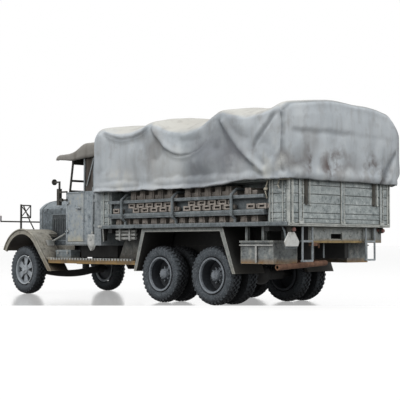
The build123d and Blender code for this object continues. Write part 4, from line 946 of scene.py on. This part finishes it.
bed = {
    "side": 12.84, "gate": -74.0, "gateHalf": 12.5, "top": 22.2,
    # heights of the gaps between planks, from the bottom board up
    "gaps": (13.5, 14.22, 15.12, 16.64, 18.1, 19.5, 20.9, 22.35), "gap": 0.14, "warp": 0.05,
    "sideEnds": ((-28.15, -30.0), (-70.2, -73.45)), "sideStrips": (-70.22, -70.78, -72.9, -28.3, -29.8),
    "cornerBolts": (13.7, 15.6, 17.4, 19.0),
    # hinge straps on the tailgate: y of each one's two bars, then their rungs' first height, step and number
    "straps": ((10.6, 9.82), (0.28, -0.46), (-10.26, -10.96)), "rungs": (14.05, 1.25, 6),
    # pale strips on the tailgate: y, width, lowest z
    "strips": ((12.07, 0.26, 13.5), (8.08, 0.24, 16.4), (-9.43, 0.24, 16.7), (-12.39, 0.22, 13.5)),
    # dark sockets for stakes: limits of y, lowest z
    "sockets": ((9.37, 8.42, 16.6), (-8.06, -9.09, 16.8)),
}


def buildPlanks():
    # boards of the bed's ends and of the tailgate, each with its own slight warp
    bm = bmesh.new()
    for number, (low, high) in enumerate(zip(bed["gaps"], bed["gaps"][1:])):
        warp = bed["warp"] * wave(number * 3.1, 2.0, 0)
        z = (low + bed["gap"] / 2, high - bed["gap"] / 2)
        for ends in bed["sideEnds"]:
            for sign in (1, -1):
                addBox(bm, ends, (sign * (bed["side"] - 0.1), sign * (bed["side"] + 0.1 + warp)), z)
        addBox(bm, (bed["gate"] + 0.1, bed["gate"] - 0.12 - warp), (-bed["gateHalf"], bed["gateHalf"]), z)
    softenEdges(bm, 0.05)
    finish(bm, "bedPlanks", paint["planks"])


def buildBedIrons():
    # corner posts, pale strips, hinge straps made of two bars and rungs, and the strips of the side ends
    bm = bmesh.new()
    gate, top = bed["gate"], bed["top"]
    firstZ, stepZ, rungs = bed["rungs"]
    for sign in (1, -1):
        addBox(bm, (gate + 0.25, gate - 0.24), (sign * 12.72, sign * 13.06), (13.15, top))
        addBox(bm, (gate - 0.02, gate - 0.22), (sign * 12.2, sign * 12.36), (13.15, top))
        for x in bed["sideStrips"]:
            addBox(bm, (x + 0.1, x - 0.1), (sign * 12.8, sign * 13.06), (13.4, top))
        for z in bed["cornerBolts"]:
            addRod(bm, (-73.6, sign * 13.04, z), (-73.6, sign * 13.13, z), 0.11, 6)
    for y, width, low in bed["strips"]:
        addBox(bm, (gate, gate - 0.26), (y - width / 2, y + width / 2), (low, top))
        addBox(bm, (gate - 0.1, gate - 0.36), (y - width * 0.8, y + width * 0.8), (low - 0.12, low + 0.16))
    for first, second in bed["straps"]:
        for y in (first, second):
            addBox(bm, (gate, gate - 0.34), (y - 0.07, y + 0.07), (13.35, top))
        for step in range(rungs):
            z = firstZ + stepZ * step
            addBox(bm, (gate, gate - 0.28), (first, second), (z, z + 0.16))
        addBox(bm, (gate, gate - 0.42), (second - 0.16, first + 0.16), (13.3, 13.86))
    softenEdges(bm, 0.04)
    finish(bm, "bedIrons", paint["posts"])
    # dark sockets, and a dark strip of painted shade between the bars of each strap
    bm = bmesh.new()
    for left, right, low in bed["sockets"]:
        addBox(bm, (gate, gate - 0.2), (right, left), (low, top))
        addBox(bm, (gate, gate - 0.3), (right + 0.28, left - 0.28), (low - 0.25, top))
    for first, second in bed["straps"]:
        addBox(bm, (gate, gate - 0.22), (second, first), (13.9, top))
    softenEdges(bm, 0.04)
    finish(bm, "bedSocketsAndStrapShade", paint["fittings"])


lashing = {
    "turns": 4, "first": (-72.9, 20.35), "step": (0.25, 0.22), "radius": 0.13,
    # loose ends on the left: points, radius
    "tails": ((((-72.6, 13.2, 20.6), (-72.2, 13.35, 19.4), (-72.5, 13.3, 18.9)), 0.11),
              (((-70.0, 13.2, 20.3), (-69.4, 13.15, 18.6), (-69.7, 13.1, 17.4)), 0.13)),
    "knots": ((-70.6, 20.5), (-69.6, 18.9)), "knot": 0.34,
}


def buildLashings():
    # hemp turns that hold the cover's hem to the bed's rear corners
    bm = bmesh.new()
    (firstX, firstZ), (stepX, stepZ) = lashing["first"], lashing["step"]
    for sign in (1, -1):
        for step in range(lashing["turns"]):
            z, x = firstZ + stepZ * step, firstX + stepX * step
            addPath(bm, [(x + 1.1, sign * 13.25, z + 0.3), (x, sign * 13.4, z - 0.1),
                         (-74.45, sign * 13.2, z), (-74.5, sign * 12.2, z + 0.25)], lashing["radius"], 6)
        for points, radius in lashing["tails"]:
            addPath(bm, [(x, sign * y, z) for x, y, z in points], radius, 6)
        for x, z in lashing["knots"]:
            knot = bmesh.ops.create_icosphere(bm, subdivisions=2, radius=lashing["knot"])["verts"]
            bmesh.ops.scale(bm, verts=knot, vec=(1.3, 0.8, 0.9))
            bmesh.ops.translate(bm, verts=knot, vec=(x, sign * 13.25, z))
    finish(bm, "hemLashings", paint["lashing"], sharp=math.pi)


buildPlanks()
buildBedIrons()
buildLashings()
print("bed boarded")

beamFace = (-72.7, -72.94)  # the rear crossbeam's plates, inside and outside
rearTrim = {
    # face plates of the rear crossbeam, open round the tow slot, with bolt heads and the slot's right-hand
    # cheek, then the right-hand block under the bed
    "rearBeamPlates": {
        "paint": "beam", "slot": "chassis_paint", "soft": 0.05,
        "boxes": ((beamFace, (-6.9, -1.3), (10.45, 13.1)), (beamFace, (1.3, 6.9), (10.45, 13.1)),
                  (beamFace, (-1.3, 1.3), (10.45, 11.1)), (beamFace, (-1.3, 1.3), (11.9, 13.1)),
                  ((-72.94, -73.06), (-6.95, 6.95), (12.75, 13.1)),
                  ((-72.7, -73.2), (-1.65, -1.3), (10.9, 12.1)),
                  ((-71.4, -73.2), (-9.5, -11.9), (10.45, 13.1)),
                  ((-71.4, -73.0), (-6.95, -9.5), (10.45, 13.1))),
        "rods": [((-72.94, y, z), (-73.1, y, z), 0.17, 6) for y, z in (
            (5.54, 11.55), (3.2, 12.5), (-3.61, 11.6), (-5.8, 12.4), (6.3, 12.6), (-6.3, 10.9))]},
    # mud along the lower edge of the beam
    "rearBeamMud": {
        "paint": "muddied", "slot": "chassis_paint", "soft": 0.05,
        "boxes": (((-72.92, -73.04), (-6.6, 6.6), (10.43, 10.77)),)},
    # bracket and pin below the beam
    "rearRustyFittings": {
        "paint": "rust", "slot": "rust_metal", "soft": 0.05,
        "boxes": (((-72.4, -73.3), (5.1, 6.3), (9.95, 10.5)),),
        "rods": (((-72.9, 4.4, 10.6), (-72.9, 4.4, 9.6), 0.14, 8),)},
    # curved strap behind the plate, chain post, and the bed's edge rails with their cleats
    "bedEdgeStrips": {
        "paint": "rack", "slot": "chassis_paint", "soft": 0.05, "sharp": 0.6,
        "boxes": [((-73.0, -73.2), (9.9, 12.7), (9.55, 9.85))]
        + [((-28.0, -74.0), (sign * 12.9, sign * 13.3), (13.1, 13.72)) for sign in (1, -1)]
        + [((x, x - 0.7), (sign * 13.2, sign * 13.42), (13.15, 13.7))
           for x in (-37.0, -48.7, -60.0, -69.6) for sign in (1, -1)],
        "paths": ((((-72.4, 12.55, 13.1), (-73.0, 12.75, 12.3), (-73.15, 12.6, 11.0), (-73.2, 12.3, 9.7)),
                   0.15),
                  (((-72.1, 2.2, 10.4), (-72.1, 2.2, 8.0)), 0.13))},
    "gateSill": {
        "paint": "posts", "slot": "board_paint", "soft": 0.05,
        "boxes": (((-72.6, -74.2), (-13.0, 13.0), (13.05, 13.32)),
                  ((-74.0, -74.3), (-12.9, 12.9), (13.32, 13.5)))},
    "tailLampLenses": {
        "paint": "lens", "slot": "rust_metal", "soft": 0.05, "segments": 2, "sharp": 0.6,
        "rods": (((-73.75, 11.5, 12.5), (-74.05, 11.5, 12.5), 0.38, 16, 0.3),
                 ((-73.75, -11.5, 12.5), (-74.05, -11.5, 12.5), 0.38, 16, 0.3),
                 ((-73.15, -10.87, 12.6), (-73.35, -10.87, 12.6), 0.3, 14, 0.22))},
}
for name, look in rearTrim.items():
    buildTrim(name, look)

shovel = {"middle": -22.8, "half": 1.35, "low": 9.1, "high": 12.1, "face": 11.45, "bow": 0.35, "wall": 0.14,
          "point": 0.45, "clips": (13.6, 18.4)}


def buildShovel():
    # pressed blade, bowed across and drawn to a point, below a round shaft clipped to the locker
    bm = bmesh.new()
    bmesh.ops.create_grid(bm, x_segments=12, y_segments=14, size=1.0)
    for vert in bm.verts:
        across, up = vert.co.x, (vert.co.y + 1) / 2
        point = math.sqrt(min(1.0, up / shovel["point"]))
        vert.co = (shovel["middle"] + across * shovel["half"] * (0.12 + 0.88 * point),
                   shovel["face"] + shovel["bow"] * (1 - across ** 2) + 0.12 * math.sin(up * 3),
                   shovel["low"] + (shovel["high"] - shovel["low"]) * up)
    bmesh.ops.solidify(bm, geom=bm.faces[:], thickness=shovel["wall"])
    bmesh.ops.recalc_face_normals(bm, faces=bm.faces)
    socket = shovel["middle"] - 0.1
    addRod(bm, (socket, 11.75, 10.9), (socket, 11.4, 12.6), 0.36, 12, 0.24)
    finish(bm, "shovelBlade", paint["pale"], replaced=("shovel",), sharp=0.6)
    bm = bmesh.new()
    addRod(bm, (socket, 11.4, 12.5), (socket, 11.3, 19.6), 0.2, 12)
    for z in shovel["clips"]:
        addBox(bm, (socket, -25.4), (11.08, 11.38), (z, z + 0.4))
    finish(bm, "shovelShaft", paint["locker"], sharp=0.6)


buildShovel()
print("rear end dressed")

hood = {
    # the hood's side stands at this half width at each x
    "sideFront": (3.1, 4.85), "sideRear": (-9.6, 5.7),
    # front and rear x, low and high z
    "skin": (2.9, -9.3, 10.3, 17.45), "panel": (-1.2, -8.2, 11.1, 16.35),
    "frame": 0.18, "slats": 8,
    # heights of the clips along the front edge, and x of the studs along the top
    "clips": (11.0, 14.2, 17.0), "studs": (1.0, -4.6, -8.9),
}


def finishOnHood(bm, name, look):
    # what was built flat at y = 0 leans on to the tapering side of the hood, left and right
    (frontX, frontHalf), (rearX, rearHalf) = hood["sideFront"], hood["sideRear"]
    softenEdges(bm, 0.04)
    for vert in bm.verts:
        vert.co.y += frontHalf + (frontX - vert.co.x) / (frontX - rearX) * (rearHalf - frontHalf)
    mirrorSide(bm)
    finish(bm, name, paint[look])


def buildHoodSides():
    # skins with clips, studs and a slim frame, each round a dark louvred panel
    bm = bmesh.new()
    front, rear, low, high = hood["skin"]
    addBox(bm, (front, rear), (-0.02, 0.1), (low, high))
    front, rear, low, high = hood["panel"]
    edge = hood["frame"]
    for z in ((low - edge, low), (high, high + edge)):
        addBox(bm, (front + edge, rear - edge), (0.1, 0.24), z)
    for x in ((front, front + edge), (rear - edge, rear)):
        addBox(bm, x, (0.1, 0.24), (low, high))
    for z in hood["clips"]:
        addBox(bm, (2.2, 1.6), (0.1, 0.28), (z, z + 0.35))
    for x in hood["studs"]:
        addRod(bm, (x, 0.1, 17.6), (x, 0.35, 17.6), 0.18, 8)
    finishOnHood(bm, "hoodSkins", "hoodSide")
    bm = bmesh.new()
    addBox(bm, (front, rear), (0.02, 0.13), (low, high))
    pitch = (front - rear) / hood["slats"]
    for step in range(hood["slats"]):
        x = front - pitch * (step + 0.2)
        for vert in addBox(bm, (x, x - pitch * 0.6), (0.1, 0.3), (low + 0.9, high - 0.7)):
            if vert.co.x > x - 0.1 and vert.co.y > 0.2:
                vert.co.y -= 0.16
    finishOnHood(bm, "hoodLouvres", "louvre")


fender = {
    # the arc, in degrees from straight ahead up over the wheel, and how steeply the leg behind it falls
    "from": 24.0, "to": 138.5, "fall": 48.5, "steps": 30,
    "centreZ": 6.2, "radius": 7.15, "outer": 12.3, "tail": 4.95, "bead": 0.2,
}


def buildFenderBeads():
    # rolled wire edge round the outer rim of each front fender, down its rear leg to the tail
    bm = bmesh.new()
    ring = bmesh.ops.create_circle(bm, cap_ends=False, segments=8, radius=fender["bead"])["verts"]
    bmesh.ops.translate(bm, verts=ring, vec=(fender["radius"] - 0.08, fender["outer"] - 0.02, 0))
    turnVerts(bm, ring, -math.radians(fender["from"]))
    spun = bmesh.ops.spin(bm, geom=ring + bm.edges[:], cent=(0, 0, 0), axis=(0, 1, 0), steps=fender["steps"],
                          angle=-math.radians(fender["to"] - fender["from"]), use_merge=False)["geom_last"]
    fall = math.radians(fender["fall"])
    drop = fender["radius"] * math.cos(fall) + fender["centreZ"] - fender["tail"]
    rim = [part for part in spun if isinstance(part, bmesh.types.BMEdge)]
    leg = bmesh.ops.extrude_edge_only(bm, edges=rim)["geom"]
    bmesh.ops.translate(bm, verts=[part for part in leg if isinstance(part, bmesh.types.BMVert)],
                        vec=(-drop / math.tan(fall), 0, -drop))
    bmesh.ops.holes_fill(bm, edges=[edge for edge in bm.edges if edge.is_boundary])
    bmesh.ops.translate(bm, verts=bm.verts, vec=(0, 0, fender["centreZ"]))
    bmesh.ops.recalc_face_normals(bm, faces=bm.faces)
    mirrorSide(bm)
    finish(bm, "fenderBeads", paint["fender"], sharp=1.0)


buildHoodSides()
buildFenderBeads()

sideTrim = {
    # hinges, handle, drip strips and sill of the doors
    "cabTrim": {
        "paint": "body", "slot": "door_paint", "soft": 0.03, "sharp": 0.6, "bothSides": True,
        "boxes": [((-13.6, -14.7), (10.9, 11.06), (z + 0.14, z + 0.38)) for z in (12.5, 18.1)]
        + [((-13.9, -19.5), (10.86, 11.02), (20.25, 20.5)), ((-13.8, -22.7), (10.86, 11.05), (10.15, 10.6)),
           ((-19.35, -19.5), (10.86, 10.98), (10.6, 20.3)), ((-22.6, -22.8), (10.86, 10.98), (10.3, 26.6))],
        "rods": [((-14.15, 11.05, z - 0.1), (-14.15, 11.05, z + 0.62), 0.15, 8) for z in (12.5, 18.1)],
        "paths": ((((-17.4, 10.9, 17.25), (-17.4, 11.3, 17.25), (-18.5, 11.3, 17.2)), 0.12),)},
    # clasps of the toolbox lids; raised tread along each running board; strap and lid rim of the box under
    # the bed; plate and hanger at the bed's front corner; ribs of the cab locker
    "smallFittings": {
        "paint": "pale", "slot": "body_paint", "soft": 0.03, "sharp": 0.6, "bothSides": True,
        "boxes": [((x, x - 0.4), (9.95, 10.05), (8.25, 8.95)) for x in (-9.5, -12.6)]
        + [((-10.2 - 0.88 * step, -10.6 - 0.88 * step), (11.6, 12.15), (7.15, 7.55)) for step in range(29)]
        + [((-66.4, -66.75), (12.26, 12.42), (7.3, 9.9)), ((-62.9, -70.2), (12.26, 12.42), (9.95, 10.15)),
           ((-26.6, -29.9), (12.5, 13.1), (13.35, 13.75))]
        + [((-25.25, -25.35), (6.0, 12.4), (z, z + 0.12)) for z in (12.0, 15.5, 18.6)],
        "rods": (((-27.7, 12.7, 13.3), (-27.7, 12.5, 10.7), 0.14, 8),)},
}
for name, look in sideTrim.items():
    buildTrim(name, look)
print("hood, fenders and cab trimmed")

# which enamel each CAD node wears, by the longest name that its own name starts with
finishes = {
    "hood": "hood", "radiator": "body", "cab_body": "body", "windscreen_frame": "fittings",
    "bed_floor": "rack", "bed_side": "planks", "bed_bearers": "underside", "headboard": "planks",
    "tailgate": "planks", "door": "door", "front_fender": "fender", "rear_fenders": "rearFender",
    "board_toolboxes": "toolbox", "rear_toolboxes": "rearBox", "splash_panels": "flap",
    "running_boards": "board", "front_bumper": "body",
    "cab_locker": "locker", "tail_lamps": "fittings", "headlamps": "fittings", "mirror_arms": "fittings",
    "fender_markers": "fittings", "fender_stays": "pale", "step_ladders": "locker", "tool_racks": "pale",
    "track_racks": "rack", "exhaust_pipe": "rust", "shovel": "pale", "number_plate": "plate", "seat": "seat",
    "steering_wheel": "fittings", "front_rim": "rimFront", "rear_rims": "rimRear", "spare_links": "links",
    "leaf_springs": "chassis",
}
for node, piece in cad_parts.items():
    known = [name for name in finishes if node.startswith(name)]
    chosen = paint[finishes[max(known, key=len)]] if known else paint["chassis"]
    if "tyre" in node:
        chosen = rubber
    if node in ("cab_roof", "side_curtains", "tarp"):
        chosen = roofCanvas
    piece.data.materials.clear()
    piece.data.materials.append(chosen)
print("finishes given")

studio = {
    "camera": (-177.75, 130.44, 10.19), "yaw": -43.583, "pitch": 2.505, "lens": 91.38,
    # how far from the camera the polished sheet starts, and how much of it mirrors
    "mirrorFrom": 170.0, "mirrored": 0.6,
    "zenith": 0.95, "horizon": 0.55, "below": 0.15, "floorGlow": 0.87, "aim": (0, 0, 0.012),
    # place and width in metres, power
    "lamps": {"overheadLamp": ((-0.05, 0.05, 0.32), 0.30, 0.12),
              "leftLamp": ((-0.02, 0.34, 0.16), 0.22, 0.42), "rearLamp": ((-0.36, 0.02, 0.18), 0.22, 0.42)},
}


def addToScene(name, data):
    holder = bpy.data.objects.new(name, data)
    bpy.context.scene.collection.objects.link(holder)
    return holder


def seenPlainly(tree):
    # 1 for what the camera sees, directly, in gloss or through something clear
    path = addNode(tree, "ShaderNodeLightPath")
    seen = path.outputs["Is Camera Ray"]
    for kind in ("Is Glossy Ray", "Is Transmission Ray"):
        seen = addNode(tree, "ShaderNodeMath", {"operation": "MAXIMUM"},
                       {0: seen, 1: path.outputs[kind]}).outputs[0]
    return seen


def buildFloor():
    # a cloth that the camera sees as white and the truck as grey
    bm = bmesh.new()
    bmesh.ops.create_grid(bm, x_segments=2, y_segments=2, size=6.0)
    mesh = bpy.data.meshes.new("floor")
    bm.to_mesh(mesh)
    bm.free()
    addToScene("floor", mesh)
    material = bpy.data.materials.new("white_studio_floor")
    material.use_nodes = True
    tree = material.node_tree
    tree.nodes.clear()
    seen = seenPlainly(tree)
    # the sheet under the wheels is polished, and its front edge lies across the view
    place = addNode(tree, "ShaderNodeTexCoord")
    yaw = math.radians(studio["yaw"])
    startX, startY = (frontAxle + studio["camera"][0]) * mm, studio["camera"][1] * mm
    depth = addNode(tree, "ShaderNodeVectorMath", {"operation": "DOT_PRODUCT"},
                    {0: place.outputs["Object"], 1: (math.cos(yaw), math.sin(yaw), 0)}).outputs["Value"]
    edge = startX * math.cos(yaw) + startY * math.sin(yaw) + studio["mirrorFrom"] * mm
    polished = addNode(tree, "ShaderNodeMapRange", {},
                       {0: depth, 1: edge - 0.0005, 2: edge + 0.0005, 3: 0.0, 4: studio["mirrored"]})
    bounced = addNode(tree, "ShaderNodeBsdfDiffuse", {}, {"Color": "#5e5d5b"})
    cloth = addNode(tree, "ShaderNodeBsdfDiffuse", {}, {"Color": "#6b6a68"})
    glow = addNode(tree, "ShaderNodeEmission", {}, {"Color": "#ffffff", "Strength": studio["floorGlow"]})
    lit = addNode(tree, "ShaderNodeAddShader", {}, {0: cloth.outputs[0], 1: glow.outputs[0]})
    gloss = addNode(tree, "ShaderNodeBsdfGlossy", {}, {"Color": "#ffffff", "Roughness": 0.13})
    sheet = addNode(tree, "ShaderNodeMixShader", {},
                    {0: polished.outputs[0], 1: lit.outputs[0], 2: gloss.outputs[0]})
    shown = addNode(tree, "ShaderNodeMixShader", {}, {0: seen, 1: bounced.outputs[0], 2: sheet.outputs[0]})
    addNode(tree, "ShaderNodeOutputMaterial", {}, {0: shown.outputs[0]})
    mesh.materials.append(material)


def buildWorld():
    # a soft box of light, brightest overhead, that the camera and gloss see as plain white
    world = bpy.data.worlds.new("studio")
    bpy.context.scene.world = world
    world.use_nodes = True
    tree = world.node_tree
    tree.nodes.clear()
    seen = seenPlainly(tree)
    place = addNode(tree, "ShaderNodeTexCoord")
    height = addNode(tree, "ShaderNodeSeparateXYZ", {}, {0: place.outputs["Generated"]}).outputs[2]
    sky = addNode(tree, "ShaderNodeMapRange", {},
                  {0: height, 1: 0.0, 2: 1.0, 3: studio["horizon"], 4: studio["zenith"]}).outputs[0]
    above = addNode(tree, "ShaderNodeMath", {"operation": "GREATER_THAN"}, {0: height, 1: 0.0}).outputs[0]
    strength = addNode(tree, "ShaderNodeMix", {"data_type": "FLOAT"},
                       {0: above, 2: studio["below"], 3: sky}).outputs[0]
    soft = addNode(tree, "ShaderNodeBackground", {}, {"Color": "#fafcff", "Strength": strength})
    white = addNode(tree, "ShaderNodeBackground", {}, {"Color": "#ffffff", "Strength": 1.0})
    mixed = addNode(tree, "ShaderNodeMixShader", {}, {0: seen, 1: soft.outputs[0], 2: white.outputs[0]})
    addNode(tree, "ShaderNodeOutputWorld", {}, {0: mixed.outputs[0]})


def addLamp(name, place, size, power):
    # a square lamp turned to the truck
    lamp = bpy.data.lights.new(name, "AREA")
    lamp.shape = "SQUARE"
    lamp.size = size
    lamp.energy = power
    holder = addToScene(name, lamp)
    holder.location = place
    holder.rotation_euler = (Vector(studio["aim"]) - Vector(place)).to_track_quat("-Z", "Y").to_euler()


def buildCamera():
    camera = bpy.data.cameras.new("camera")
    camera.lens = studio["lens"]
    camera.sensor_width = 36.0
    camera.clip_start = 0.001
    holder = addToScene("camera", camera)
    x, y, z = studio["camera"]
    holder.location = ((frontAxle + x) * mm, y * mm, z * mm)
    yaw, pitch = math.radians(studio["yaw"]), math.radians(studio["pitch"])
    aim = Vector((math.cos(yaw) * math.cos(pitch), math.sin(yaw) * math.cos(pitch), math.sin(pitch)))
    holder.rotation_euler = aim.to_track_quat("-Z", "Y").to_euler()
    bpy.context.scene.camera = holder


buildFloor()
buildWorld()
for name, (place, size, power) in studio["lamps"].items():
    addLamp(name, place, size, power)
buildCamera()
bpy.context.scene.view_settings.view_transform = "Standard"
print("studio ready")
